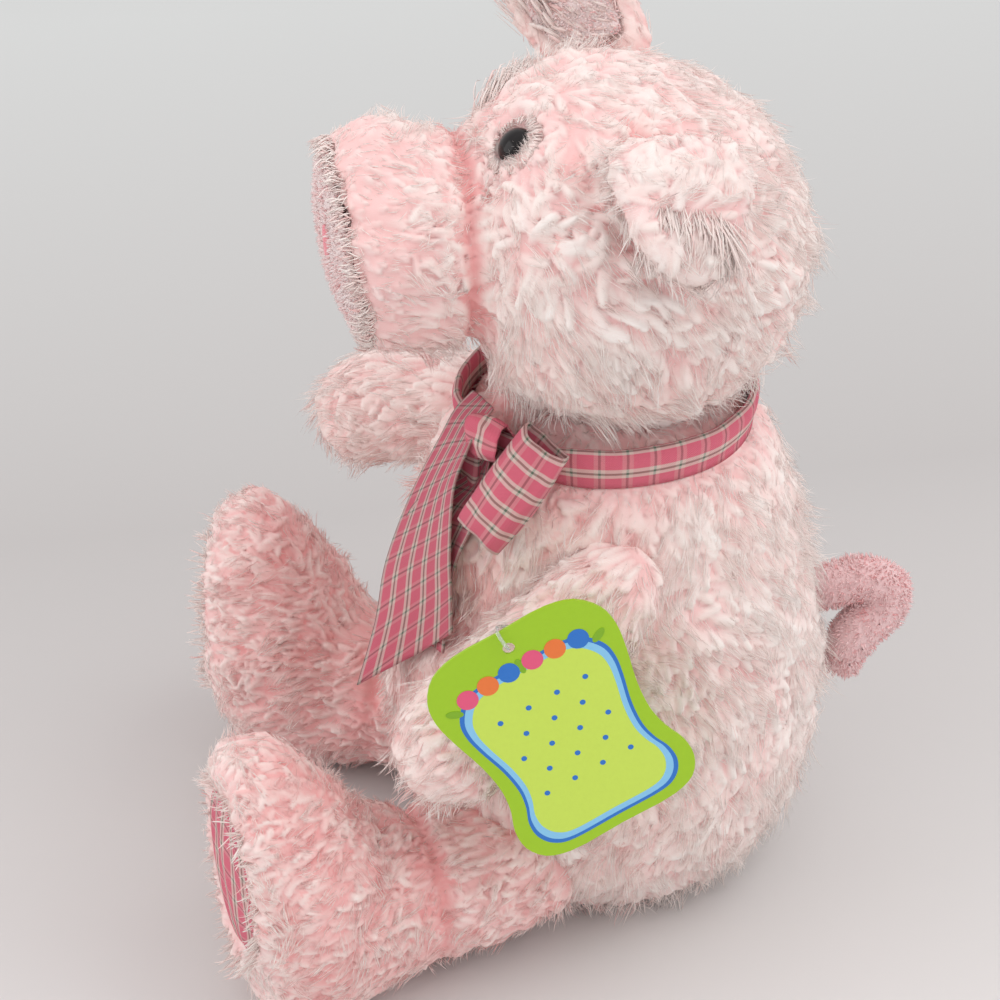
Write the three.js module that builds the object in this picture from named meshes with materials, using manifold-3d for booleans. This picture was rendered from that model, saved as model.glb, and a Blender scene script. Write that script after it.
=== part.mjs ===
// A seated plush pig with a checked ribbon tied in a bow round its neck and a card tag on its arm.
// Millimetres, +Z up. The pig faces -Y, its left side is +X, and the origin is the middle of the flat it sits on.

import * as THREE from 'three';
import { mergeVertices } from 'three/addons/utils/BufferGeometryUtils.js';
import Module from 'manifold-3d';

const wasm = await Module();
wasm.setup();

// Fits and walls
const gap = 0.3;
const overrun = 4;
const coverWall = 2;
const stuffingClearance = 0.5;
const restCut = 0.5;

// Body: an egg that is broad to the shoulders and ends in a neck stump
const body = { length: 165, halfWidth: 54, halfHeight: 61.5 };
const neckHoleRadius = 19;
// Each row: share of the height, share of the girth.
const bodyShares = [
  [0, 0], [0.012, 0.46], [0.055, 0.68], [0.135, 0.845], [0.255, 0.955], [0.39, 1], [0.545, 0.97],
  [0.69, 0.9], [0.81, 0.8], [0.885, 0.73], [0.93, 0.675], [0.955, 0.58], [0.972, 0.5], [1, 0.47],
];

// Head, measured along the nose line from the back of the head to its face
const head = { length: 86, halfWidth: 49, halfHeight: 45 };
const headRise = 41;
const headHeight = body.length + headRise;
const headOffset = 8;
// Each row: shares of the length, half width and half height, and the rise of the centre line.
const headShares = [
  [0, 0, 0, 0], [0.035, 0.34, 0.34, 0], [0.12, 0.64, 0.64, 0], [0.3, 0.89, 0.89, 0], [0.5, 1, 1, 0],
  [0.7, 0.97, 0.98, 0.02], [0.82, 0.9, 0.92, 0.05], [0.9, 0.78, 0.81, 0.08], [0.96, 0.6, 0.62, 0.08],
  [1, 0.4, 0.4, 0.08],
];
const headTurn = 20;

// Muzzle, a short drum between the face and the snout pad
const muzzle = { length: 46, halfWidth: 28, halfHeight: 27.5 };
const muzzleSeat = 30;
const muzzleRise = 6;
const muzzleHoleRadius = 19;
const muzzleShares = [[0, 0.92], [0.3, 0.95], [0.7, 0.99], [0.9, 1], [1, 0.95]];

// Snout pad and its stitched nostrils
const padTilt = 9;
const padBulge = 7;
const padMargin = 1.5;
const padShares = [[0, 1], [0.35, 0.95], [0.7, 0.72], [0.92, 0.38], [1, 0]];
const nostrilSpacing = 28;
const nostrilRise = 9;
const nostril = { halfWidth: 1.8, halfHeight: 4.6, halfDepth: 1.1 };

// Eyes: domed buttons on shanks, each held by a washer behind the cover
const eyeRadius = 5;
const eyeDome = 3.6;
const eyeSink = 1.5;
const eyeSpacing = 32;
const eyeForward = 36;
const eyeRise = 39;
const shankRadius = 1.5;
const shankLength = 8;
const washerRadius = 4.2;
const washerThickness = 1.2;
const washerSeat = 3.4;
const pocketDepth = 12;

// Ears: leaves with a lining on the inner face. The left one has flopped over, the right one stands.
const earHalfWidth = 15;
const earHalfThickness = 2.4;
const liningHalfThickness = 0.7;
const liningShares = { width: 0.78, start: 0.16, end: 0.93 };
const earRootReach = 27;
const earRootRise = 37;
const leftEarRise = 60;
const rightEarFall = 35;
// Each row: share of the length, share of the half width and half thickness.
const earShares = [
  [0, 0.62, 0.9], [0.18, 0.86, 1], [0.42, 1, 1], [0.65, 0.92, 1], [0.85, 0.62, 0.9], [0.96, 0.3, 0.7], [1, 0.08, 0.3],
];
const earLength = 40;
// Each row: outward, backward and upward from the ear's root, in shares of the ear's length.
const leftEarShares = [[0, 0, 0], [0.36, 0.04, 0.1], [0.64, 0.06, -0.1], [0.76, 0.08, -0.45]];
const rightEarShares = [[0, 0, 0], [0.2, -0.2, 0.35], [0.34, -0.4, 0.6], [0.42, -0.58, 0.8]];

// Arms
const arm = { length: 84, halfWidth: 14.5, halfHeight: 14.5 };
const armRoot = 4;
const shoulderDrop = 34;
const shoulderHeight = body.length - shoulderDrop;
const shoulderInset = 8;
const shoulderReach = body.halfWidth - shoulderInset;
const shoulderForward = 2;
const armShares = [
  [0, 0.3], [0.06, 0.62], [0.18, 0.82], [0.42, 0.88], [0.66, 0.97], [0.84, 1], [0.94, 0.76], [0.985, 0.4], [1, 0],
];
const armAngles = {
  left: { down: 41, out: 11, from: -35, to: 0 },
  right: { down: 12, out: 28, from: -20, to: 35 },
};

// Legs: a thigh that ends in a tall foot, whose sole faces forward
const leg = { length: 104, halfWidth: 27, halfHeight: 43 };
const legRoot = 14;
const hipInset = 20;
const hipReach = body.halfWidth - hipInset;
const hipForward = 27;
const legSplayOut = 12;
const legSplayIn = 8;
const legYaw = { left: 14, right: 27 };
const legShares = [
  [0, 0, 0, 0.65], [0.05, 0.4, 0.24, 0.65], [0.135, 0.63, 0.4, 0.65], [0.31, 0.7, 0.465, 0.63],
  [0.5, 0.74, 0.51, 0.65], [0.635, 0.78, 0.63, 0.67], [0.73, 0.93, 0.84, 0.84], [0.827, 1, 0.985, 0.973],
  [0.923, 0.96, 0.93, 1.05], [1, 0.78, 0.7, 1.2],
];
const sole = { halfWidth: 19, halfHeight: 26, bulge: 3, seam: 3 };

// Tail: a short tube bent back on itself
const tailRadius = 5.4;
const tailDrop = 79;
const tailHeight = body.length - tailDrop;
const tailLength = 25;
const tailSwing = 20;
// Each row: to the left, backward and upward from the tail's root, in shares of the tail's length.
const tailShares = [
  [0, -0.2, -0.04], [0, 0.22, 0.04], [0.04, 0.63, 0.11], [0.11, 0.94, 0], [0.15, 0.83, -0.28], [0.19, 0.59, -0.46],
  [0.2, 0.44, -0.7], [0.17, 0.41, -1],
];
const tailGirthShares = [0.7, 0.9, 1, 1, 1, 1, 0.96, 0.7];

// Neck ribbon and bow, each set down from the top of the neck
const ribbonThickness = 0.8;
const ring = { height: 12, drop: 13, halfDepth: 40.6, halfWidth: 37 };
const knotAngle = 36;
const knot = { halfWidth: 6, halfDepth: 4.5, halfHeight: 6.5, drop: 2, lead: 3.5 };
const nearLoop = { width: 33, halfLength: 9.5, halfDepth: 4.2, angle: 50, stand: 6.9, drop: 11 };
const farLoop = { width: 20, halfLength: 9.5, halfDepth: 1.9, angle: 17, stand: 3.3, drop: 16 };
const bowTailRise = 8.5;
const bowTailLength = 96;
const bowTailReach = 75;
// Each row: for the left and the right edge in turn, the fall below the bow's top, the angle round the neck
// in right angles and the distance from the neck's middle.
const leftBowTailShares = [
  [0.026, 0.114, 0.522, 0, 0.419, 0.566], [0.109, 0.074, 0.577, 0.068, 0.384, 0.611],
  [0.197, 0.041, 0.627, 0.123, 0.364, 0.666], [0.387, 0.034, 0.746, 0.228, 0.367, 0.734],
  [0.611, 0.04, 0.855, 0.427, 0.402, 0.785], [0.806, 0.056, 0.909, 0.547, 0.415, 0.825],
  [1.024, 0.06, 0.99, 0.638, 0.425, 0.85],
];
const rightBowTailShares = [
  [0.19, 0.35, 0.6, 0.17, 0.43, 0.58], [0.27, 0.35, 0.645, 0.25, 0.43, 0.61],
  [0.38, 0.17, 0.71, 0.34, 0.4, 0.66],
  [0.52, 0.1, 0.77, 0.45, 0.38, 0.69], [0.7, 0.1, 0.83, 0.6, 0.39, 0.735], [0.88, 0.11, 0.86, 0.76, 0.4, 0.77],
];

// Card tag and its plastic loop
const tag = { width: 54, height: 70, thickness: 0.8, holeRadius: 1.7, holeMargin: 5.5 };
const tagLean = 6;
const tagRoll = 27;
const tagReach = 28;
const tagForward = 23;
const tagDrop = 28.5;
const tagSwing = 45;
// Each row: share of the half width, share of the half height, down the right-hand side from the top.
const tagOutlineShares = [
  [0, 1], [0.5, 1], [0.78, 0.93], [0.96, 0.76], [1, 0.58], [0.96, 0.36], [0.87, 0.05], [0.84, -0.22], [0.88, -0.42],
  [0.96, -0.6], [0.96, -0.78], [0.84, -0.93], [0.6, -1], [0, -1],
];
const loopTube = { radius: 0.5, stand: 1.4 };
const clasp = { halfLength: 4, halfWidth: 1.8, reach: 11.5, forward: 28, drop: 8.5 };

const stepCounts = { limb: 11, trunk: 12, drum: 5, card: 3, cord: 28 };
const sideCounts = {
  limb: 12, foot: 16, trunk: 18, drum: 16, button: 12, stitch: 8, ribbon: 12, tail: 8, cord: 5,
};
const swingStep = 7.5;
const vector = (x, y, z) => new THREE.Vector3(x, y, z);
const radians = THREE.MathUtils.degToRad;
const upright = vector(0, 0, 1);

const finish = (colour, roughness) => new THREE.MeshStandardMaterial({ color: colour, roughness, metalness: 0 });
const palePlush = finish(0xf3d3d2, 0.95);
const pinkVelour = finish(0xe8a9b2, 0.85);
const fibre = finish(0xf4f2ee, 1);
const checkedCloth = finish(0xd46a80, 0.9);
const blackPlastic = finish(0x0b0b0c, 0.12);
const whitePlastic = finish(0xe8e8e6, 0.4);
const clearPlastic = finish(0xdfe3e4, 0.2);
const roseThread = finish(0xd76d83, 0.8);
const greenCard = finish(0x9fd21f, 0.5);

const pig = new THREE.Group();

function add(name, solid, material) {
  const mesh = new THREE.Mesh(toGeometry(solid), material);
  mesh.name = name;
  pig.add(mesh);
}

// Solids and geometries

function toSolid(geometry) {
  const bare = geometry.clone();
  bare.deleteAttribute('normal');
  bare.deleteAttribute('uv');
  const merged = mergeVertices(bare);
  return new wasm.Manifold(new wasm.Mesh({
    numProp: 3,
    vertProperties: new Float32Array(merged.attributes.position.array),
    triVerts: new Uint32Array(merged.index.array),
  }));
}

function toGeometry(solid) {
  const { vertProperties, triVerts, numProp } = solid.getMesh();
  const places = new Float32Array((vertProperties.length / numProp) * 3);
  for (let i = 0; i < places.length / 3; i += 1) {
    places.set(vertProperties.subarray(i * numProp, i * numProp + 3), i * 3);
  }
  const geometry = new THREE.BufferGeometry();
  geometry.setAttribute('position', new THREE.BufferAttribute(places, 3));
  geometry.setIndex(new THREE.BufferAttribute(new Uint32Array(triVerts), 1));
  geometry.computeVertexNormals();
  return geometry;
}

// Joins a stack of rings, each a list of points in the same order, and closes both ends or joins the last to the first.
function skin(rings, closed = false) {
  const count = rings[0].length;
  const points = rings.flat();
  const faces = [];
  const spans = closed ? rings.length : rings.length - 1;
  for (let ring = 0; ring < spans; ring += 1) {
    const near = ring * count;
    const far = ((ring + 1) % rings.length) * count;
    for (let i = 0; i < count; i += 1) {
      const next = (i + 1) % count;
      faces.push(near + i, near + next, far + next, near + i, far + next, far + i);
    }
  }
  for (const [ring, first] of closed ? [] : [[0, true], [rings.length - 1, false]]) {
    const middle = rings[ring].reduce((sum, p) => sum.add(p), vector(0, 0, 0)).divideScalar(count);
    const hub = points.push(middle) - 1;
    for (let i = 0; i < count; i += 1) {
      const a = ring * count + i;
      const b = ring * count + (i + 1) % count;
      faces.push(...(first ? [hub, b, a] : [hub, a, b]));
    }
  }
  const geometry = new THREE.BufferGeometry().setFromPoints(points);
  geometry.setIndex(faces);
  return toSolid(geometry);
}

// Smooth values between the rows of a table of shares. A row of two shares has the second one both ways.
function smooth(rows, count) {
  const full = rows.map(([along, wide, tall = wide, lift = 0]) => [along, wide, tall, lift]);
  const shape = new THREE.CatmullRomCurve3(full.map(([along, wide, tall]) => vector(along, wide, tall)));
  const rise = new THREE.CatmullRomCurve3(full.map((row) => vector(row[3], 0, 0)));
  return Array.from({ length: count + 1 }, (_, i) => {
    const { x, y, z } = shape.getPoint(i / count);
    return [x, Math.max(y, 0), Math.max(z, 0), rise.getPoint(i / count).x];
  });
}

// A form that swells and tapers along the local +Z axis, with its whole surface moved inward by an inset.
function swelling(size, rows, inset, count, around) {
  const least = gap / 10;
  const rings = smooth(rows, count).map(([along, wide, tall, lift]) => {
    const halfWidth = Math.max(wide * size.halfWidth, least);
    const halfHeight = Math.max(tall * size.halfHeight, least);
    return Array.from({ length: around }, (_, i) => {
      const turn = (i / around) * Math.PI * 2;
      const rise = halfHeight * Math.sin(turn) + lift * size.halfHeight;
      return vector(halfWidth * Math.cos(turn), rise, along * size.length);
    });
  });
  const ends = [[0, inset], [count, size.length - inset]];
  const moved = rings.map((ring, i) => ring.map((point, k) => {
    const round = ring[(k + 1) % around].clone().sub(ring[(k + around - 1) % around]);
    const along = rings[Math.min(i + 1, count)][k].clone().sub(rings[Math.max(i - 1, 0)][k]);
    return point.clone().addScaledVector(round.cross(along).normalize(), -inset);
  }));
  for (const [i, z] of ends) {
    moved[i].forEach((point) => point.setZ(z));
  }
  return skin(moved);
}

// A form that follows a curve. Each section is its place on the curve, half width and half thickness.
function following(curve, sections, side, around, shift = 0) {
  const rings = sections.map(([place, wide, thick]) => {
    const along = curve.getTangent(place);
    const across = side.clone().addScaledVector(along, -side.dot(along)).normalize();
    const out = along.clone().cross(across);
    const centre = curve.getPoint(place).addScaledVector(out, shift);
    return Array.from({ length: around }, (_, i) => {
      const turn = (i / around) * Math.PI * 2;
      return centre.clone().addScaledVector(across, wide * Math.cos(turn)).addScaledVector(out, thick * Math.sin(turn));
    });
  });
  return skin(rings);
}

// The frame at a place whose Z runs along a direction and whose Y is as upright as it can be.
function frameAt(origin, along, up = upright) {
  const z = along.clone().normalize();
  const x = new THREE.Vector3().crossVectors(up, z).normalize();
  const y = new THREE.Vector3().crossVectors(z, x);
  return new THREE.Matrix4().makeBasis(x, y, z).setPosition(origin);
}

function placed(solid, origin, along, up) {
  return solid.transform(frameAt(origin, along, up).elements);
}

function rod(radius, from, to, around = sideCounts.button) {
  const length = to - from;
  const geometry = new THREE.CylinderGeometry(radius, radius, length, around);
  return toSolid(geometry.rotateX(Math.PI / 2).translate(0, 0, from + length / 2));
}

function ellipsoid(halfWidth, halfHeight, halfLength, around = sideCounts.stitch) {
  const geometry = new THREE.SphereGeometry(1, around, around / 2);
  return toSolid(mergeVertices(geometry.scale(halfWidth, halfHeight, halfLength)));
}

function turned(solid, pivot, axis, angle) {
  const frame = new THREE.Matrix4().makeTranslation(pivot)
    .multiply(new THREE.Matrix4().makeRotationAxis(axis, radians(angle)))
    .multiply(new THREE.Matrix4().makeTranslation(pivot.clone().negate()));
  return solid.transform(frame.elements);
}

// Cuts a limb by its neighbour in every place that the neighbour takes, seen from the limb, as the limb swings.
function carved(limb, neighbour, pivot, axis, from, to) {
  const count = Math.ceil((to - from) / swingStep);
  let left = limb;
  for (let i = 0; i <= count; i += 1) {
    left = left.subtract(turned(neighbour, pivot, axis, -(from + ((to - from) * i) / count)));
  }
  return largest(left);
}

function largest(solid) {
  return solid.decompose().reduce((a, b) => (a.volume() > b.volume() ? a : b));
}

// How far from a point inside a solid its surface lies along a line.
function reachOf(solid, from, aim) {
  const probe = placed(rod(gap, 0, body.length, 3), from, aim);
  return solid.intersect(probe).transform(frameAt(from, aim).invert().elements).boundingBox().max[2];
}

// Body

const bodyForm = (inset) => swelling(body, bodyShares, inset, stepCounts.trunk, sideCounts.trunk)
  .translate([0, 0, -restCut]);
const reach = body.length * 2;
const underFloor = toSolid(new THREE.BoxGeometry(reach, reach, reach).translate(0, 0, -reach / 2));
const bodyCarver = bodyForm(-gap);
const bodyOuter = bodyForm(0).subtract(underFloor);

const bodyShell = bodyOuter.subtract(bodyForm(coverWall));
add('body_cover', bodyShell.subtract(rod(neckHoleRadius, body.length / 2, reach)), palePlush);
add('body_stuffing', bodyForm(coverWall + stuffingClearance), fibre);

// Head

const nose = vector(0, -1, 0);
const headCentre = vector(0, headOffset, headHeight);
const headBack = headCentre.clone().addScaledVector(nose, -head.length / 2);
const headEgg = (inset) => swelling(head, headShares, inset, stepCounts.trunk, sideCounts.trunk);
const headForm = (inset) => placed(headEgg(inset), headBack, nose);
const headCarver = headForm(-gap);
const onNeck = (solid) => carved(solid, bodyCarver, vector(0, 0, headHeight), upright, -headTurn, headTurn);

const muzzleStart = headCentre.clone().addScaledVector(nose, muzzleSeat).setZ(headHeight + muzzleRise);
const muzzleEnd = muzzleStart.clone().addScaledVector(nose, muzzle.length);
const padNormal = vector(0, -Math.cos(radians(padTilt)), -Math.sin(radians(padTilt)));

// The muzzle's drum, cut by the pad's plane.
function muzzleForm(inset, beyond) {
  const size = { ...muzzle, length: muzzle.length + 2 * overrun };
  const drum = placed(swelling(size, muzzleShares, inset, stepCounts.drum, sideCounts.drum), muzzleStart, nose);
  return drum.trimByPlane(padNormal.clone().negate().toArray(), -muzzleEnd.dot(padNormal) - beyond);
}

function plug(radius, from, to) {
  return placed(rod(radius, from, to, sideCounts.drum), headCentre.clone().setZ(muzzleStart.z), nose);
}

const eyeAims = {
  left: vector(eyeSpacing / 2, -eyeForward, eyeRise),
  right: vector(-eyeSpacing / 2, -eyeForward, eyeRise),
};
const eyes = Object.entries(eyeAims).map(([name, way]) => {
  const aim = way.clone().normalize();
  const seat = headCentre.clone().addScaledVector(aim, reachOf(headForm(0), headCentre, aim));
  return { name, at: (solid) => placed(solid, seat, aim) };
});

const within = headForm(coverWall);
let headCover = onNeck(headForm(0)).subtract(within).subtract(plug(muzzleHoleRadius, 0, reach));
let headStuffing = headForm(coverWall + stuffingClearance)
  .add(plug(muzzleHoleRadius - stuffingClearance, 0, muzzleSeat + muzzle.length / 2))
  .add(muzzleForm(coverWall + stuffingClearance, -gap).subtract(headCarver));
headStuffing = onNeck(headStuffing);
for (const { at } of eyes) {
  headCover = headCover.subtract(at(rod(shankRadius + stuffingClearance, -pocketDepth, overrun)));
  headStuffing = headStuffing.subtract(at(rod(washerRadius + stuffingClearance, -pocketDepth, overrun)));
}
add('head_cover', largest(headCover), palePlush);
const muzzleShell = muzzleForm(0, 0).subtract(muzzleForm(coverWall, overrun));
add('muzzle_cover', largest(muzzleShell.subtract(headCarver)), palePlush);
add('head_stuffing', largest(headStuffing), fibre);

// Snout pad and nostrils

function padForm(inset) {
  const size = { length: padBulge, halfWidth: muzzle.halfWidth - padMargin, halfHeight: muzzle.halfHeight - padMargin };
  return placed(swelling(size, padShares, inset, stepCounts.drum, sideCounts.trunk), padSeat, padNormal);
}
const padSeat = muzzleEnd.clone().addScaledVector(padNormal, gap);
const pad = padForm(0);
add('snout_pad', pad, pinkVelour);

const padUp = vector(0, padNormal.z, -padNormal.y);
for (const [name, side] of [['nostril_left', 1], ['nostril_right', -1]]) {
  const root = padSeat.clone().addScaledVector(padUp, nostrilRise).setX((side * nostrilSpacing) / 2);
  const seat = root.addScaledVector(padNormal, reachOf(pad, root, padNormal));
  const oval = placed(ellipsoid(nostril.halfWidth, nostril.halfHeight, nostril.halfDepth), seat, padNormal);
  add(name, largest(oval.subtract(padForm(-gap))), roseThread);
}

// Eyes and washers

function button() {
  const dome = Array.from({ length: stepCounts.drum + 1 }, (_, i) => {
    const turn = (i / stepCounts.drum) * (Math.PI / 2);
    return new THREE.Vector2(i < stepCounts.drum ? eyeRadius * Math.cos(turn) : 0, eyeDome * Math.sin(turn));
  });
  const base = [new THREE.Vector2(0, -eyeSink), new THREE.Vector2(eyeRadius, -eyeSink)];
  return toSolid(new THREE.LatheGeometry([...base, ...dome], sideCounts.button).rotateX(Math.PI / 2));
}

for (const { name, at } of eyes) {
  const dome = at(button()).subtract(headCarver);
  add(`eye_${name}`, dome.add(at(rod(shankRadius, -shankLength, eyeDome / 2))), blackPlastic);
  const disc = rod(washerRadius, -washerSeat - washerThickness, -washerSeat)
    .subtract(rod(shankRadius + gap, -pocketDepth, overrun));
  add(`eye_washer_${name}`, at(disc).intersect(headForm(coverWall + gap)), whitePlastic);
}

// Ears

const earSections = smooth(earShares, stepCounts.limb);
const backward = vector(0, 1, 0);
const ears = [
  { name: 'left', side: 1, places: leftEarShares, width: backward, swing: leftEarRise },
  { name: 'right', side: -1, places: rightEarShares, width: vector(0.35, 0.9, 0.2), swing: rightEarFall },
];
for (const { name, side, places, width, swing } of ears) {
  const root = vector(side * earRootReach, headOffset, headHeight + earRootRise);
  const curve = new THREE.CatmullRomCurve3(places.map(([out, back, up]) => (
    root.clone().addScaledVector(vector(side * out, back, up), earLength)
  )));
  const leaf = earSections.map(([place, wide, thick]) => [place, wide * earHalfWidth, thick * earHalfThickness]);
  const lined = earSections.map(([place, wide, thick]) => [
    liningShares.start + place * (liningShares.end - liningShares.start),
    wide * earHalfWidth * liningShares.width,
    thick * liningHalfThickness,
  ]);
  const drop = earHalfThickness + liningHalfThickness + gap;
  const seated = (solid) => carved(solid, headCarver, root, nose, 0, swing);
  const ear = seated(following(curve, leaf, width, sideCounts.limb));
  add(`ear_${name}`, ear, palePlush);
  add(`ear_lining_${name}`, seated(following(curve, lined, width, sideCounts.limb, -drop)), pinkVelour);
}

// Arms

const armForm = (inset) => swelling(arm, armShares, inset, stepCounts.limb, sideCounts.limb);
const arms = {};
for (const [name, { down, out, from, to }] of Object.entries(armAngles)) {
  const side = name === 'left' ? 1 : -1;
  const shoulder = vector(side * shoulderReach, -shoulderForward, shoulderHeight);
  const level = Math.cos(radians(down));
  const way = vector(side * Math.sin(radians(out)) * level, -Math.cos(radians(out)) * level, -Math.sin(radians(down)));
  const root = shoulder.clone().addScaledVector(way, -armRoot);
  const put = (inset) => carved(placed(armForm(inset), root, way), bodyCarver, shoulder, vector(1, 0, 0), from, to);
  arms[name] = { shoulder, carver: placed(armForm(-gap), root, way) };
  add(`arm_${name}`, largest(put(0).subtract(placed(armForm(coverWall), root, way))), palePlush);
  add(`arm_stuffing_${name}`, put(coverWall + stuffingClearance), fibre);
}

// Legs and sole patches

const legForm = (inset) => swelling(leg, legShares, inset, stepCounts.limb, sideCounts.foot);
for (const [name, side] of [['left', 1], ['right', -1]]) {
  const hip = vector(side * hipReach, -hipForward, 0);
  const yaw = radians(legYaw[name]);
  const way = vector(side * Math.sin(yaw), -Math.cos(yaw), 0);
  const root = hip.clone().addScaledVector(way, -legRoot);
  const [inward, outward] = side > 0 ? [-legSplayIn, legSplayOut] : [-legSplayOut, legSplayIn];
  const put = (inset) => carved(placed(legForm(inset), root, way), bodyCarver, hip, upright, inward, outward);
  const front = root.clone().addScaledVector(way, leg.length);
  const middle = front.clone().setZ(legShares[legShares.length - 1][3] * leg.halfHeight);
  const [openWidth, openHeight] = [sole.halfWidth - sole.seam, sole.halfHeight - sole.seam];
  const opening = { length: 2 * overrun, halfWidth: openWidth, halfHeight: openHeight };
  const behind = middle.clone().addScaledVector(way, -overrun);
  const hole = placed(swelling(opening, [[0, 1], [1, 1]], 0, 1, sideCounts.trunk), behind, way);
  const cover = put(0).subtract(placed(legForm(coverWall), root, way)).subtract(hole).subtract(underFloor);
  add(`leg_${name}`, largest(cover), palePlush);
  add(`leg_stuffing_${name}`, put(coverWall + stuffingClearance), fibre);
  const patch = swelling({ length: sole.bulge, ...sole }, padShares, 0, stepCounts.drum, sideCounts.trunk);
  add(`sole_patch_${name}`, placed(patch, middle.clone().addScaledVector(way, gap), way), checkedCloth);
}

// Tail

const tailRoot = vector(0, body.halfHeight, tailHeight);
const tailCurve = new THREE.CatmullRomCurve3(tailShares.map((row) => (
  tailRoot.clone().addScaledVector(vector(...row), tailLength)
)));
const tailCount = 2 * (tailShares.length - 1);
const tailSections = Array.from({ length: tailCount + 1 }, (_, i) => {
  const near = Math.floor(i / 2);
  const far = Math.min(Math.ceil(i / 2), tailGirthShares.length - 1);
  const girth = tailRadius * (tailGirthShares[near] + tailGirthShares[far]) / 2;
  return [i / tailCount, girth, girth];
});
const tail = following(tailCurve, tailSections, vector(1, 0, 0), sideCounts.tail);
add('tail', carved(tail, bodyCarver, tailRoot, upright, -tailSwing, tailSwing), pinkVelour);

// Neck ribbon and bow

// A point beside the neck, given by its angle from the front toward the left side.
const beside = (angle, distance, height) => (
  vector(distance * Math.sin(radians(angle)), -distance * Math.cos(radians(angle)), height)
);
const knotWay = beside(knotAngle, 1, 0);
const knotCentre = vector(ring.halfWidth * knotWay.x, ring.halfDepth * knotWay.y, body.length - knot.drop)
  .addScaledVector(knotWay, knot.lead);
const knotForm = (grow) => placed(
  ellipsoid(knot.halfWidth + grow, knot.halfHeight + grow, knot.halfDepth + grow), knotCentre, knotWay,
);
const knotCarver = knotForm(gap);
add('bow_knot', knotForm(0).subtract(bodyCarver).subtract(headCarver), checkedCloth);

function band(grow, from, to) {
  const size = { length: to - from, halfWidth: ring.halfWidth + grow, halfHeight: ring.halfDepth + grow };
  return swelling(size, [[0, 1], [1, 1]], 0, 1, 2 * sideCounts.trunk).translate([0, 0, from]);
}
const ringBase = body.length - ring.drop;
const ringTop = ringBase + ring.height;
const neckBand = band(ribbonThickness, ringBase, ringTop).subtract(band(0, ringBase - overrun, ringTop + overrun));
add('neck_ribbon', largest(neckBand.subtract(bodyCarver).subtract(headCarver).subtract(knotCarver)), checkedCloth);

// A loop is a flattened sleeve of ribbon, whose axis lies across the ribbon.
function sleeve(loop, axis, long) {
  const centre = beside(loop.angle, ring.halfDepth + loop.stand, body.length - loop.drop);
  const shape = [[0, 0.9, 0.9], [0.5, 1, 1], [1, 0.92, 0.85]];
  const form = (inset, beyond) => {
    const [halfWidth, halfHeight] = [loop.halfLength - inset, loop.halfDepth - inset];
    const size = { length: loop.width + 2 * beyond, halfWidth, halfHeight };
    const along = axis.clone().normalize();
    const start = centre.clone().addScaledVector(along, -size.length / 2);
    const up = new THREE.Vector3().crossVectors(along, long);
    return placed(swelling(size, shape, 0, stepCounts.drum, sideCounts.ribbon), start, along, up);
  };
  return form(0, 0).subtract(form(ribbonThickness, overrun));
}

// A strip of ribbon between two edges, each a row of fall, angle and distance.
function strip(rows) {
  const right = 90;
  const edge = (first) => new THREE.CatmullRomCurve3(rows.map((row) => beside(
    row[first + 1] * right, row[first + 2] * bowTailReach, body.length + bowTailRise - row[first] * bowTailLength,
  )));
  const [near, far] = [edge(0), edge(3)];
  const rings = Array.from({ length: stepCounts.limb + 1 }, (_, i) => {
    const [a, b] = [near.getPoint(i / stepCounts.limb), far.getPoint(i / stepCounts.limb)];
    const along = near.getTangent(i / stepCounts.limb).add(far.getTangent(i / stepCounts.limb));
    const out = new THREE.Vector3().crossVectors(b.clone().sub(a), along).normalize();
    const middle = a.clone().add(b).multiplyScalar(0.5).addScaledVector(out, -ribbonThickness);
    const offset = (p, share) => p.clone().addScaledVector(out, share * ribbonThickness);
    return [offset(a, 0.5), offset(middle, 0.5), offset(b, 0.5), offset(b, -0.5), offset(middle, -0.5), offset(a, -0.5)];
  });
  return skin(rings);
}

const clear = (solid) => largest(solid.subtract(knotCarver).subtract(bodyCarver).subtract(headCarver));
const nearSleeve = sleeve(nearLoop, vector(-0.03, -0.55, -0.84), vector(0.7, 0.6, -0.39));
const farSleeve = sleeve(farLoop, vector(0, -0.1, -1), vector(0.95, 0.3, 0));
add('bow_loop_left', clear(nearSleeve), checkedCloth);
add('bow_loop_right', clear(farSleeve), checkedCloth);
add('bow_tail_left', clear(strip(leftBowTailShares)), checkedCloth);
add('bow_tail_right', clear(strip(rightBowTailShares)), checkedCloth);

// Hang tag and its fastener

const shoulder = arms.left.shoulder;
const tagCentre = shoulder.clone().add(vector(tagReach, -tagForward, -tagDrop));
const tagNormal = vector(Math.cos(radians(tagLean)), 0, Math.sin(radians(tagLean)));
const tagUp = vector(
  -Math.sin(radians(tagLean)) * Math.cos(radians(tagRoll)), -Math.sin(radians(tagRoll)),
  Math.cos(radians(tagLean)) * Math.cos(radians(tagRoll)),
);
const half = tagOutlineShares.map(([wide, tall]) => vector((wide * tag.width) / 2, (tall * tag.height) / 2, 0));
const outline = new THREE.CatmullRomCurve3(half).getPoints(stepCounts.card * (half.length - 1));
const mirrored = outline.slice(1, -1).reverse().map((p) => vector(-p.x, p.y, 0));
const card = new THREE.Shape([...outline, ...mirrored].map((p) => new THREE.Vector2(p.x, p.y)));
const holeRise = tag.height / 2 - tag.holeMargin;
card.holes.push(new THREE.Path().absarc(0, holeRise, tag.holeRadius, 0, Math.PI * 2));
const stamping = { depth: tag.thickness, bevelEnabled: false, curveSegments: stepCounts.drum };
const cardSolid = toSolid(new THREE.ExtrudeGeometry(card, stamping)).translate([0, 0, -tag.thickness / 2]);
add('hang_tag', placed(cardSolid, tagCentre, tagNormal, tagUp), greenCard);

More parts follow.
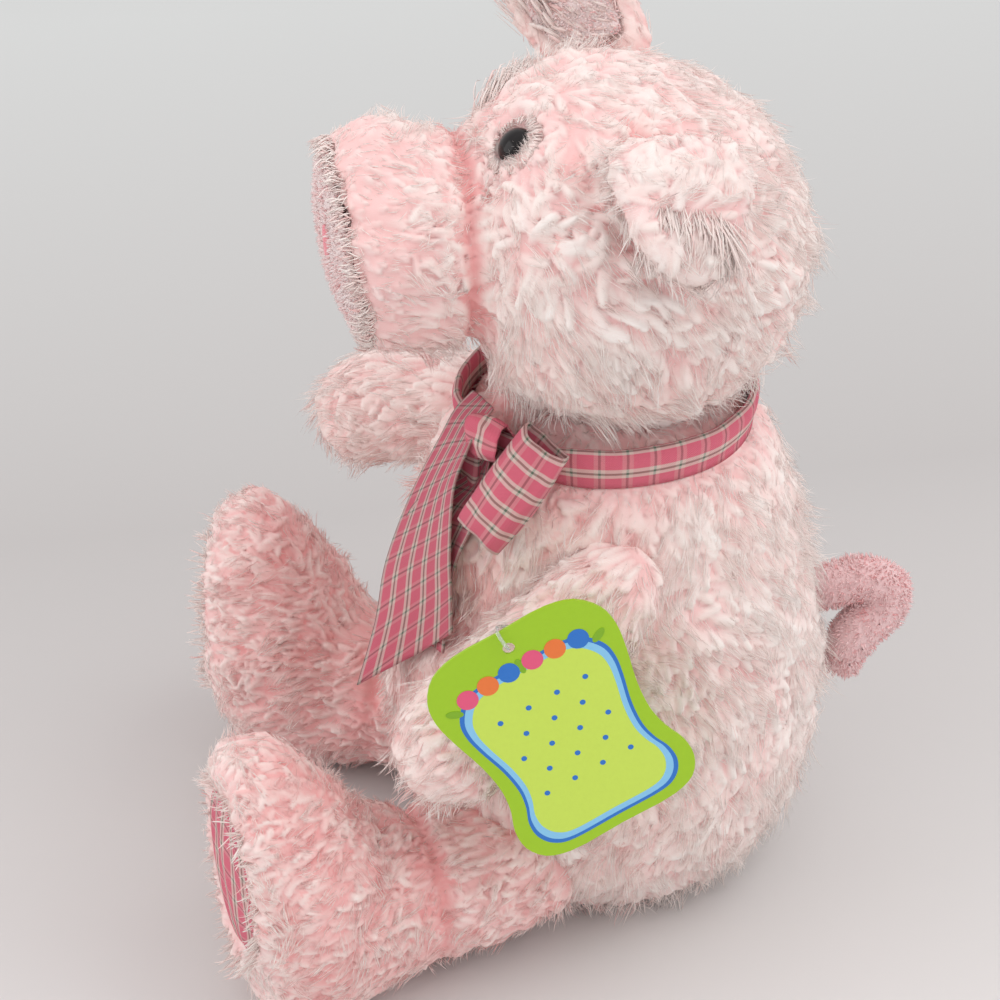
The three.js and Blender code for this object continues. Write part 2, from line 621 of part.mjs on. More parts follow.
const onTag = (rise, ahead) => tagCentre.clone().addScaledVector(tagUp, rise).addScaledVector(tagNormal, ahead);
const claspCentre = shoulder.clone().add(vector(clasp.reach, -clasp.forward, -clasp.drop));
const edge = tag.height / 2 + loopTube.stand;
const beyondHole = holeRise + tag.holeRadius;
const route = [
  claspCentre, onTag(edge, loopTube.stand / 2), onTag(beyondHole, 2 * loopTube.stand), onTag(holeRise, 0),
  onTag(beyondHole, -2 * loopTube.stand), claspCentre.clone().addScaledVector(tagUp, -loopTube.stand),
];
const cord = new THREE.CatmullRomCurve3(route, true);
const frames = cord.computeFrenetFrames(stepCounts.cord, true);
const cordRing = (i) => Array.from({ length: sideCounts.cord }, (_, k) => {
  const turn = (k / sideCounts.cord) * Math.PI * 2;
  return cord.getPointAt(i / stepCounts.cord)
    .addScaledVector(frames.normals[i], loopTube.radius * Math.cos(turn))
    .addScaledVector(frames.binormals[i], loopTube.radius * Math.sin(turn));
});
const cordRings = Array.from({ length: stepCounts.cord }, (_, i) => cordRing(i));
const bar = placed(ellipsoid(clasp.halfWidth, clasp.halfWidth, clasp.halfLength), claspCentre, vector(0.1, 1, 0.3));
const fastener = skin(cordRings, true).add(bar);
add('tag_fastener', carved(fastener, arms.left.carver, claspCentre, nose, 0, tagSwing), clearPlastic);

export default pig;
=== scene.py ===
"""A seated plush pig with a checked bow and a card tag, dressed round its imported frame."""

import math

import bmesh
import bpy
import numpy as np
from mathutils import Matrix, Vector
from mathutils.bvhtree import BVHTree
from mathutils.kdtree import KDTree


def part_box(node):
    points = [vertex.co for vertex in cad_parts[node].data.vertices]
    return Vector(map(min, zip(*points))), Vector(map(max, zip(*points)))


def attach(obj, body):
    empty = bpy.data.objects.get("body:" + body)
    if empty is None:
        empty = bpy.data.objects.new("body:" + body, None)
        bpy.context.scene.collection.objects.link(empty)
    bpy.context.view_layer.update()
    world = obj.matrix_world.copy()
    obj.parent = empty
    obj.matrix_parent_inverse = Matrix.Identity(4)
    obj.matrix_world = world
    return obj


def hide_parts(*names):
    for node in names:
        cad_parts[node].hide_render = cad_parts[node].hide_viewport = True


bl_info = {
    "name": "Plush Pig",
    "version": (1, 0, 0),
    "blender": (4, 5, 0),
    "location": "3D View > Sidebar > Plush Pig",
    "description": "Dresses the frame of a seated plush pig: pile, velour, checked bow, eyes and tag",
    "category": "Object",
}

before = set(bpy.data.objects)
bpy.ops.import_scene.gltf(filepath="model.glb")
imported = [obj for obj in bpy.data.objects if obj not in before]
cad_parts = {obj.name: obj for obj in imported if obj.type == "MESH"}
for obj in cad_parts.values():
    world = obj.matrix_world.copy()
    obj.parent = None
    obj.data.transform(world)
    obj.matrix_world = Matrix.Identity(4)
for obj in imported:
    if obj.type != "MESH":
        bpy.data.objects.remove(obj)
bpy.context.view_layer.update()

MM = 0.001
BAKE_MAP = "OFBake"
UP = np.array((0.0, 0.0, 1.0))


# Sizes and colours that a user would change


def length_property(name, description, default):
    return bpy.props.FloatProperty(
        name=name, description=description, default=default, min=0.0, precision=4,
        unit="LENGTH", subtype="DISTANCE",
    )


def angle_property(name, description, degrees):
    turn = math.radians(degrees)
    return bpy.props.FloatProperty(name=name, description=description, default=turn, subtype="ANGLE")


def colour_property(name, description, default):
    return bpy.props.FloatVectorProperty(
        name=name, description=description, default=default, size=3, min=0.0, max=1.0, subtype="COLOR"
    )


class PlushPigPile(bpy.types.PropertyGroup):
    """The long pile and the velour."""

    density: bpy.props.FloatProperty(
        name="Density", description="Locks on each square millimetre of cloth", default=0.21, min=0.0
    )
    length: length_property("Length", "Length of a lock of the long pile", 0.0092)
    thickness: length_property("Thickness", "Width of a lock at its widest", 0.0023)
    under: length_property("Under-pile", "Depth of the dense pile under the locks", 0.002)
    hair: length_property("Hair", "Thickness of the loose hairs", 0.00017)
    clumping: bpy.props.FloatProperty(
        name="Clumping", description="How far the tips of a clump draw together", default=0.35, min=0.0,
        subtype="FACTOR",
    )
    relief: length_property("Relief", "How far a lock stands out of the pile round it", 0.0021)
    nap: length_property("Nap", "Length of the velour's pile", 0.0009)
    # The root colour is partly painted shade: it stands for the pinker light deep between the locks.
    root: colour_property("Root", "Colour of the pile at its root", (0.93, 0.62, 0.61))
    middle: colour_property("Middle", "Colour of the pile half way up", (0.945, 0.82, 0.785))
    tip: colour_property("Tip", "Colour of the pile at its tips", (0.945, 0.89, 0.85))
    velour: colour_property("Velour", "Colour of the velour on the tail", (0.97, 0.70, 0.705))
    pale_velour: colour_property("Pale velour", "Colour of the velour on the snout", (0.975, 0.85, 0.84))


class PlushPigCloth(bpy.types.PropertyGroup):
    """The checked cloth of the bow and the soles."""

    repeat: length_property("Repeat", "Size of one check, from stripe to stripe", 0.0073)
    thickness: length_property("Thickness", "Thickness of the cloth", 0.0005)
    rose: colour_property("Rose", "Colour of the squares", (0.85, 0.17, 0.255))
    cream: colour_property("Cream", "Colour of the stripes", (0.88, 0.81, 0.72))
    green: colour_property("Green", "Colour of the line in each stripe", (0.17, 0.23, 0.16))


class PlushPigTag(bpy.types.PropertyGroup):
    """The card tag."""

    card: colour_property("Card", "Colour of the card", (0.36, 0.62, 0.012))
    glow: colour_property("Glow", "Colour of the middle of the card", (0.60, 0.80, 0.10))
    line: colour_property("Line", "Colour of the border's thin line", (0.02, 0.18, 0.62))
    petal: colour_property("Petal", "Colour of the pink dots", (0.80, 0.10, 0.22))
    orange: colour_property("Orange", "Colour of the orange dots", (0.85, 0.20, 0.04))
    leaf: colour_property("Leaf", "Colour of the leaves", (0.22, 0.46, 0.01))
    band: colour_property("Band", "Colour of the border's broad line", (0.25, 0.60, 0.90))


class PlushPigStudio(bpy.types.PropertyGroup):
    """Camera, floor and lamps."""

    distance: length_property("Distance", "From the camera to the pig", 0.72)
    azimuth: angle_property("Azimuth", "The camera's direction round the pig", 80)
    elevation: angle_property("Elevation", "The camera's angle above the floor", 33)
    floor: colour_property("Floor", "Colour of the floor", (0.53, 0.525, 0.52))


class PlushPigSettings(bpy.types.PropertyGroup):
    """All the settings of the plush pig."""

    pile: bpy.props.PointerProperty(type=PlushPigPile)
    cloth: bpy.props.PointerProperty(type=PlushPigCloth)
    tag: bpy.props.PointerProperty(type=PlushPigTag)
    studio: bpy.props.PointerProperty(type=PlushPigStudio)


def settings():
    return bpy.context.scene.plush_pig


# Materials


class Shade:
    """A socket of a material's nodes that takes part in sums."""

    def __init__(self, finish, socket):
        self.finish = finish
        self.socket = socket

    def _with(self, operation, other, flipped=False):
        pair = (other, self) if flipped else (self, other)
        return self.finish.maths(operation, *pair)

    def __add__(self, other):
        return self._with("ADD", other)

    def __radd__(self, other):
        return self._with("ADD", other, True)

    def __sub__(self, other):
        return self._with("SUBTRACT", other)

    def __rsub__(self, other):
        return self._with("SUBTRACT", other, True)

    def __mul__(self, other):
        return self._with("MULTIPLY", other)

    def __rmul__(self, other):
        return self._with("MULTIPLY", other, True)

    def __truediv__(self, other):
        return self._with("DIVIDE", other)


class Finish:
    """A material round one Principled shader. Its even properties are plain numbers on the shader."""

    def __init__(self, name, **plain):
        self.material = bpy.data.materials.new(name)
        self.material.use_nodes = True
        self.tree = self.material.node_tree
        self.shader = next(n for n in self.tree.nodes if n.type == "BSDF_PRINCIPLED")
        for key, value in plain.items():
            self.shader.inputs[key.replace("_", " ")].default_value = value

    def node(self, kind, wanted=None, inputs=None, output=0):
        """Adds a node: its settings come first, then the values or links of its sockets."""
        made = self.tree.nodes.new(kind)
        for key, value in (wanted or {}).items():
            if key == "stops":
                ramp = made.color_ramp
                while len(ramp.elements) < len(value):
                    ramp.elements.new(1.0)
                for element, (place, colour) in zip(ramp.elements, value):
                    element.position = place
                    element.color = (*colour, 1.0)
            else:
                setattr(made, key, value)
        for key, value in (inputs or {}).items():
            if isinstance(value, Shade):
                self.tree.links.new(value.socket, made.inputs[key])
            else:
                made.inputs[key].default_value = value
        return Shade(self, made.outputs[output])

    def maths(self, operation, *values):
        return self.node("ShaderNodeMath", {"operation": operation}, dict(enumerate(values)))

    def step(self, value, low, high):
        """0 below low, 1 above high, and smooth between."""
        return self.node(
            "ShaderNodeMapRange",
            {"interpolation_type": "SMOOTHSTEP"},
            {"Value": value, "From Min": low, "From Max": high},
        )

    def mixed(self, share, first, second, blend="MIX"):
        """The second colour over the first, each a socket or three numbers."""
        a, b = ((*c, 1.0) if isinstance(c, tuple) else c for c in (first, second))
        return self.node(
            "ShaderNodeMix", {"data_type": "RGBA", "blend_type": blend}, {0: share, 6: a, 7: b}, output=2
        )

    def noise(self, vector, scale, detail=2.0):
        return self.node("ShaderNodeTexNoise", None, {"Vector": vector, "Scale": scale, "Detail": detail})

    def place(self):
        return self.node("ShaderNodeTexCoord", output="Object")

    def flat(self):
        """The two coordinates of the piece's own map."""
        both = self.node("ShaderNodeUVMap", {"uv_map": BAKE_MAP})
        return [self.node("ShaderNodeSeparateXYZ", None, {0: both}, output=i) for i in (0, 1)]

    def use(self, socket, value):
        self.tree.links.new(value.socket, self.shader.inputs[socket])

    def bump(self, height, distance):
        values = {"Height": height, "Distance": distance, "Strength": 1.0}
        self.use("Normal", self.node("ShaderNodeBump", None, values))

    def ramp(self, place, stops):
        """Colours along a value from 0 to 1."""
        return self.node("ShaderNodeValToRGB", {"stops": stops}, {0: place})


def colour_of(group, name):
    return tuple(getattr(group, name))


def scaled(colour, share):
    return tuple(c * share for c in colour)


def pile_finish(name, root, middle, tip, pale):
    """Locks of pile. Their colour runs up the map from root to tip, their tint and fibres run across it. The
    deeper pink at the root is partly the pile's own colour and partly painted shade deep in the pile.
    """
    made = Finish(name, Roughness=0.85, Specular_IOR_Level=0.08, Sheen_Weight=0.12, Sheen_Roughness=0.6)
    tint, rise = made.flat()
    along = made.ramp(rise, [(0.0, root), (0.45, middle), (0.8, tip), (1.0, pale)])
    pinkest, pink, plain, palest = (0.94, 0.64, 0.65), (0.98, 0.91, 0.91), (1.0, 1.0, 1.0), (1.0, 1.02, 1.03)
    # The tint holds random tone, and also the painted light and shade that the combs, creases and patches put
    # into it.
    wash = made.ramp(tint, [(0.0, pinkest), (0.4, pink), (0.75, plain), (1.0, palest)])
    spot = made.node("ShaderNodeCombineXYZ", None, {0: tint * 420.0, 1: rise * 2.5})
    fibre = made.noise(spot, 1.0, 2.0)
    shaded = made.mixed(1.0, along, wash, "MULTIPLY")
    fine = made.mixed(made.step(fibre, 0.3, 0.7), (0.965, 0.90, 0.89), (1.0, 1.0, 1.0))
    made.use("Base Color", made.mixed(1.0, shaded, fine, "MULTIPLY"))
    return made.material


def skin_finish(name, colour, grain):
    """The backing of the pile."""
    made = Finish(name, Roughness=0.95, Specular_IOR_Level=0.1, Sheen_Weight=0.2)
    cloud = made.noise(made.place(), 1.0 / grain, 4.0)
    made.use("Base Color", made.mixed(cloud, scaled(colour, 0.8), colour))
    made.bump(made.noise(made.place(), 4.0 / grain, 3.0), 0.0006)
    return made.material


def stripes(made, along, cream, line):
    """Masks of the cream stripe and of the thin line in it, from a coordinate counted in checks."""
    off = made.maths("ABSOLUTE", made.maths("FRACT", along + 0.5) - 0.5)
    return 1.0 - made.step(off, cream - 0.02, cream + 0.02), 1.0 - made.step(off, line - 0.015, line + 0.02)


def checked_finish(name, width, length, start=0.0, lean=0.0):
    """Woven checks. The map runs once along the piece and once across it, and its real size is given."""
    cloth = settings().cloth
    made = Finish(name, Roughness=0.9, Specular_IOR_Level=0.15, Sheen_Weight=0.15)
    u, v = made.flat()
    across = u * (width / cloth.repeat) + start
    along = v * (length / cloth.repeat) + u * lean
    rose, cream, green = (colour_of(cloth, c) for c in ("rose", "cream", "green"))
    threads = []
    pale = tuple(0.55 * a + 0.45 * b for a, b in zip(rose, cream))
    for way, width_of_line, light, dark in (
        (across, 0.05, cream, green),
        (along, 0.045, pale, scaled(green, 0.5)),
    ):
        stripe, line = stripes(made, way, 0.2, width_of_line)
        threads.append(made.mixed(line, made.mixed(stripe, rose, light), dark))
    threads_in_check = 14.0
    weave = made.maths("SINE", across * (threads_in_check * math.tau)) * made.maths(
        "SINE", along * (threads_in_check * math.tau)
    )
    share = made.step(weave, -1.0, 1.0) * 0.3 + 0.25
    made.use("Base Color", made.mixed(share, *threads))
    made.bump(weave, 0.00012)
    return made.material


def plain_finish(name, colour, second, size, **plain):
    made = Finish(name, **plain)
    made.use("Base Color", made.mixed(made.noise(made.place(), 1.0 / size, 3.0), colour, second))
    return made.material


# Meshes


def only(*objects):
    bpy.ops.object.select_all(action="DESELECT")
    for o in objects:
        o.select_set(True)
    bpy.context.view_layer.objects.active = objects[0]


def new_object(name, mesh):
    made = bpy.data.objects.new(name, mesh)
    bpy.context.scene.collection.objects.link(made)
    return made


def in_edit_mode(piece, *steps):
    """Runs mesh operations on all of a piece, each a pair of the operation and its values."""
    only(piece)
    bpy.ops.object.mode_set(mode="EDIT")
    for operation, values in steps:
        bpy.ops.mesh.select_all(action="SELECT")
        operation(**values)
    bpy.ops.object.mode_set(mode="OBJECT")


def facing_out(piece):
    in_edit_mode(piece, (bpy.ops.mesh.normals_make_consistent, {"inside": False}))


def modified(piece, kind, **values):
    only(piece)
    bpy.ops.object.modifier_add(type=kind)
    modifier = piece.modifiers[-1]
    for key, value in values.items():
        setattr(modifier, key, value)
    bpy.ops.object.modifier_apply(modifier=modifier.name)


def smooth(piece):
    only(piece)
    bpy.ops.object.shade_smooth()


def grown(name, nodes, voxel, relax):
    """A closed soft skin round copies of CAD nodes: joined, remeshed and relaxed."""
    copies = []
    for node in nodes:
        copies.append(new_object(name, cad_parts[node].data.copy()))
    only(*copies)
    if len(copies) > 1:
        bpy.ops.object.join()
    piece = bpy.context.view_layer.objects.active
    piece.name = name
    piece.data.materials.clear()
    in_edit_mode(piece, (bpy.ops.mesh.remove_doubles, {"threshold": 1e-6}))
    piece.data.remesh_voxel_size = voxel
    remeshed(piece, relax)
    return piece


def remeshed(piece, relax):
    """One closed skin at the piece's own voxel size, relaxed."""
    only(piece)
    bpy.ops.object.voxel_remesh()
    keep_largest(piece)
    modified(piece, "SMOOTH", factor=0.5, iterations=relax)
    smooth(piece)


def keep_largest(piece):
    """Drops inner bubbles that the remesh leaves."""
    work = bmesh.new()
    work.from_mesh(piece.data)
    left = set(work.verts)
    groups = []
    while left:
        found, edge = set(), [left.pop()]
        while edge:
            v = edge.pop()
            found.add(v)
            for e in v.link_edges:
                o = e.other_vert(v)
                if o in left:
                    left.remove(o)
                    edge.append(o)
        groups.append(found)
    groups.sort(key=len)
    for group in groups[:-1]:
        bmesh.ops.delete(work, geom=list(group), context="VERTS")
    work.to_mesh(piece.data)
    work.free()


def coloured(piece, material):
    piece.data.materials.clear()
    piece.data.materials.append(material)


def finished(piece, body, material, nodes=()):
    coloured(piece, material)
    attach(piece, body)
    if nodes:
        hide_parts(*nodes)
    return piece


def shape_of(piece):
    return BVHTree.FromObject(piece, bpy.context.evaluated_depsgraph_get())


def tree_of(points):
    tree = KDTree(len(points))
    for i, spot in enumerate(points):
        tree.insert(spot, i)
    tree.balance()
    return tree


def rows_of(mesh, what):
    """The points or the normals of a mesh."""
    flat = np.zeros(len(mesh.vertices) * 3)
    mesh.vertices.foreach_get(what, flat)
    return flat.reshape(-1, 3)


def move_points(mesh, points):
    mesh.vertices.foreach_set("co", points.ravel())
    mesh.update()


def bend_normals(mesh, towards, share):
    """Turns the normals of a mesh part of the way to given ones."""
    own = np.zeros(len(mesh.vertices) * 3)
    mesh.vertex_normals.foreach_get("vector", own)
    mesh.normals_split_custom_set_from_vertices(unit(own.reshape(-1, 3) * (1 - share) + towards * share))


def unit(rows):
    return rows / np.maximum(np.linalg.norm(rows, axis=-1, keepdims=True), 1e-9)


def row_dot(a, b):
    return (a * b).sum(-1, keepdims=True)


def between(points, count):
    """A smooth row of points through a few given ones."""
    given = np.array(points, float)
    ends = np.vstack([2 * given[0] - given[1], given, 2 * given[-1] - given[-2]])
    places = np.linspace(0, len(given) - 1, count)
    cell = np.minimum(places.astype(int), len(given) - 2)
    t = (places - cell)[:, None]
    a, b, c, d = (ends[cell + i] for i in range(4))
    return 0.5 * (2 * b + (c - a) * t + (2 * a - 5 * b + 4 * c - d) * t**2 + (3 * b - a - 3 * c + d) * t**3)


def build(name, points, faces, corners, soft=None, blend=0.0):
    """A mesh from arrays of points, equal-sided faces and map corners, with softened normals where given."""
    mesh = bpy.data.meshes.new(name)
    sides = faces.shape[1]
    mesh.vertices.add(len(points))
    mesh.vertices.foreach_set("co", points.astype(np.float32).ravel())
    mesh.loops.add(faces.size)
    mesh.loops.foreach_set("vertex_index", faces.astype(np.int32).ravel())
    mesh.polygons.add(len(faces))
    mesh.polygons.foreach_set("loop_start", np.arange(0, faces.size, sides, dtype=np.int32))
    mesh.update(calc_edges=True)
    layer = mesh.uv_layers.new(name=BAKE_MAP)
    layer.data.foreach_set("uv", corners.astype(np.float32).ravel())
    mesh.polygons.foreach_set("use_smooth", np.ones(len(faces), bool))
    mesh.update()
    if soft is not None:
        bend_normals(mesh, soft, blend)
    return new_object(name, mesh)


def cloth_sheet(name, rows, thickness, closed=False):
    """A sheet of cloth from a grid of points, rows along it and columns across it, with both faces and its
    rim. A closed sheet has its first row after its last."""
    rows = np.array(rows, float)
    along, across = rows.shape[:2]
    if closed:
        rows = np.concatenate([rows, rows[:1]])
    down = np.gradient(rows, axis=0)
    if closed:
        down[0] = down[-1] = (rows[1] - rows[-2]) / 2
    out = unit(np.cross(np.gradient(rows, axis=1), down))
    if closed:
        out[-1] = out[0]
    steps = rows.shape[0]
    front = (rows + out * thickness / 2)[:along].reshape(-1, 3)
    back = (rows - out * thickness / 2)[:along].reshape(-1, 3)
    half = len(front)
    reach = np.concatenate([[0], np.cumsum(np.linalg.norm(np.diff(rows, axis=0), axis=-1).mean(1))])
    v = reach / reach[-1]
    u = np.linspace(0, 1, across)
    faces, corners = [], []
    inset = 0.012

    def at(i, j):
        return (i % along) * across + j

    def rim(first, second, shift, turn):
        """A face of the rim, with a thin strip of the map."""
        (a, b), (c, d) = first, second
        quad = [at(a, b), at(c, d), half + at(c, d), half + at(a, b)]
        x, y = shift
        flat = [(u[b], v[a]), (u[d], v[c]), (u[d] + x, v[c] + y), (u[b] + x, v[a] + y)]
        faces.append(quad[::turn])
        corners.append(flat[::turn])

    for i in range(steps - 1):
        for j in range(across - 1):
            quad = [(i, j), (i, j + 1), (i + 1, j + 1), (i + 1, j)]
            flat = [(u[b], v[a]) for a, b in quad]
            faces.append([at(a, b) for a, b in quad])
            corners.append(flat)
            faces.append([half + at(a, b) for a, b in reversed(quad)])
            corners.append(flat[::-1])
        rim((i, 0), (i + 1, 0), (inset, 0.0), 1)
        rim((i, across - 1), (i + 1, across - 1), (-inset, 0.0), -1)
    for j in range(across - 1) if not closed else ():
        rim((0, j), (0, j + 1), (0.0, inset), -1)
        rim((steps - 1, j), (steps - 1, j + 1), (0.0, -inset), 1)
    piece = build(name, np.concatenate([front, back]), np.array(faces), np.array(corners))
    facing_out(piece)
    return piece


# Pile

# Locks on each square millimetre: worked into the long pile, of the velour's nap and inside the ears
RELIEF_DENSITY, NAP_DENSITY, EAR_DENSITY = 0.12, 1.3, 0.4
# How far pile keeps off what touches it, and how far tips may go into the neighbouring skin
CLEARANCE = 0.0006
DEEPEST = 0.0015
# The lowest that points of a skin, of its relief, of a lock and of a hair may lie over the floor
FLOOR_SKIN, FLOOR_RELIEF, FLOOR_LOCK, FLOOR_HAIR = 0.0003, 0.0002, 0.0001, 0.0004


def off_floor(points, height):
    points[..., 2] = np.maximum(points[..., 2], height)


def crease_line(points):
    return between(np.array(points) * MM, 24 * len(points))


def pulled_aside(creases, root, comb, scale, tint):
    """Parts the pile along creases. Each is a row of points, its width, its push, its tint and the share of
    the pile's length that stays. A pink crease tint is painted shade in the crease; a pale one is the hair's
    own colour."""
    for points, width, push, tone, cut in creases:
        tree = tree_of(crease_line(points))
        found = [tree.find(p) for p in root]
        away = root - np.array([f[0] for f in found])
        share = np.clip(1 - np.array([f[2] for f in found]) / (width * MM), 0, 1)
        comb = comb * (1 - share[:, None]) + unit(away) * (push * share)[:, None]
        scale = scale * (1 - (1 - cut) * share)
        tint = tint + (tone - tint) * share**0.7
    return comb, scale, tint


def inside(points, low, high):
    """The numbers of the points in a box."""
    return np.nonzero(((points > low) & (points < high)).all(1))[0]


def under_laid(laid, place, heights, margin):
    """Lowers the pile where something lies on it."""
    for shape, (low, high) in laid:
        for i in inside(place, low - margin, high + margin):
            distance = shape.find_nearest(place[i])[3]
            heights[i] = min(heights[i], max(0.8 * distance - CLEARANCE, 0.0))


def crease_shares(creases, points):
    """How far each point lies in a crease, from 0 to 1, and the tint there, which is painted shade where it
    is pink.
    """
    share, tone = np.zeros(len(points)), np.zeros(len(points))
    for row, width, _, hue, _ in creases:
        line = crease_line(row)
        reach = 0.8 * width * MM
        tree = tree_of(line)
        for i in inside(points, line.min(0) - reach, line.max(0) + reach):
            own = 1 - tree.find(points[i])[2] / reach
            if own > share[i]:
                share[i], tone[i] = own, hue
    return share * share * (3 - 2 * share), tone


def whole_span(tint):
    """Stretches the least and the greatest tint to the ends of the map."""
    tint = tint.copy()
    tint[np.argmin(tint)], tint[np.argmax(tint)] = 0.0, 1.0
    return tint


def worked(skin, seed, comb, creases, laid):
    """Works overlapping locks into a skin, each a low ridge with a round tip, and maps their tint and height.
    The height picks the colour, so the valleys between the locks take the pinker root colour as painted
    shade. Returns the normals that the skin had before."""
    pile = settings().pile
    coat = Coat(skin, seed, comb, pile.length, pile.thickness, RELIEF_DENSITY)
    root, out = coat.roots()
    count, rng = len(root), coat.rng
    flow, scale, tint, mottle = comb(root)
    flow, scale, tint = pulled_aside(creases, root, flow, scale, tint)
    patch = coat.patches(root, mottle)
    way = flow + coat.wander(root, coat.BROAD_SWIRL) * 0.4 + coat.wander(root, coat.FINE_SWIRL) * 0.3
    way = way + 0.22 * rng.normal(size=root.shape)
    way = unit(way - out * row_dot(way, out))
    side = np.cross(out, way)
    long = 1.05 * pile.length * scale * rng.uniform(0.75, 1.25, count)
    wide = 0.7 * pile.thickness * np.clip(scale, 0.55, 1.1) * rng.uniform(0.75, 1.25, count)
    tall = pile.relief * np.clip(scale, 0.4, 1.3) * rng.uniform(0.55, 1.3, count)
    tall *= 1 + 0.25 * np.clip(patch, -2, 2)
    sway = 0.16 * rng.normal(size=count)
    # Low patches are painted pinker: partly random tone, partly painted shade.
    tint = np.clip(tint + 0.2 * patch + 0.14 * rng.normal(size=count), 0, 1)

    mesh = skin.data
    total = len(mesh.vertices)
    place, normal = rows_of(mesh, "co"), rows_of(mesh, "normal")
    tree = tree_of(place)
    point, owner = [], []
    for i, middle in enumerate(root + way * long[:, None] * 0.5):
        found = [hit[1] for hit in tree.find_range(middle, long[i] * 0.56)]
        point.extend(found)
        owner.extend([i] * len(found))
    point, owner = np.array(point), np.array(owner)
    apart = place[point] - root[owner]
    t = (apart * way[owner]).sum(1) / long[owner]
    shift = (apart * side[owner]).sum(1) - sway[owner] * long[owner] * t**2
    girth = wide[owner] * (0.55 + 0.45 * np.sin(math.pi * np.clip(t / 1.15, 0, 1)))
    off = shift / girth
    tip = np.clip((t - 0.78) / 0.22, 0, 1)
    ridge = np.clip(t, 0, 1) ** 0.7 * np.sqrt(1 - tip**2) * np.clip(1 - off**2, 0, 1) ** 0.6
    facing = (normal[point] * out[owner]).sum(1) > 0.3
    height = tall[owner] * ridge * ((t > 0) & (t < 1) & facing)
    order = np.argsort(height)
    rise, strand, hue = np.zeros(total), np.zeros(total), np.full(total, float(np.median(tint)))
    rise[point[order]] = height[order]
    strand[point[order]] = np.clip(off[order], -1, 1)
    hue[point[order]] = tint[owner[order]]
    # The lower a point of the relief, the nearer its colour to the pinker root: painted shade in the valleys.
    share = np.clip(rise / (1.15 * pile.relief), 0, 1)
    under_laid(laid, place, rise, 0.003)
    # In a crease the relief sinks, and its colour goes to the crease's tint and towards the root: painted
    # shade in the crease.
    dip, tone = crease_shares(creases, place)
    dip = dip * np.clip(1.2 - tone, 0, 1)
    lumps = 0.0005 * coat.wander(place, 0.007)[:, 0] + 0.0005 * coat.wander(place, 0.015)[:, 0]
    rise = np.where(rise < 1e-6, 0, rise) * (1 - 0.5 * dip) + np.minimum(lumps, rise) - 0.0026 * dip
    share, hue = share * (1 - 0.8 * dip), hue + (tone - hue) * dip
    moved = place + normal * rise[:, None]
    off_floor(moved, FLOOR_RELIEF)
    move_points(mesh, moved)
    bend_normals(mesh, normal, 0.2)
    flat = np.stack([0.04 + 0.9 * whole_span(hue) + 0.03 * strand, 0.06 + 0.88 * whole_span(share)], 1)
    mapped(mesh, flat)
    return normal


def mapped(mesh, flat):
    """Gives a mesh its map from two numbers a point, and opens the faces that would have no width in it."""
    half_width, least_area, opening = 0.006, 2e-5, (0.008, -0.003)
    corner = np.zeros(len(mesh.loops), np.int32)
    mesh.loops.foreach_get("vertex_index", corner)
    spots = flat[corner].reshape(-1, 4, 2)
    spots += half_width * np.array(((-1, -1), (1, -1), (1, 1), (-1, 1)))
    for a, b, c in ((0, 1, 2), (0, 2, 3)):
        one, two = spots[:, b] - spots[:, a], spots[:, c] - spots[:, a]
        thin = np.abs(one[:, 0] * two[:, 1] - one[:, 1] * two[:, 0]) < least_area
        spots[thin, b] += opening
    layer = mesh.uv_layers.new(name=BAKE_MAP)
    layer.data.foreach_set("uv", np.clip(spots, 0.001, 0.999).astype(np.float32).ravel())


def height_over(shape, point):
    """How far a point stands out of a skin."""
    spot, normal, _, _ = shape.find_nearest(point)
    return (Vector(point) - spot).dot(normal)


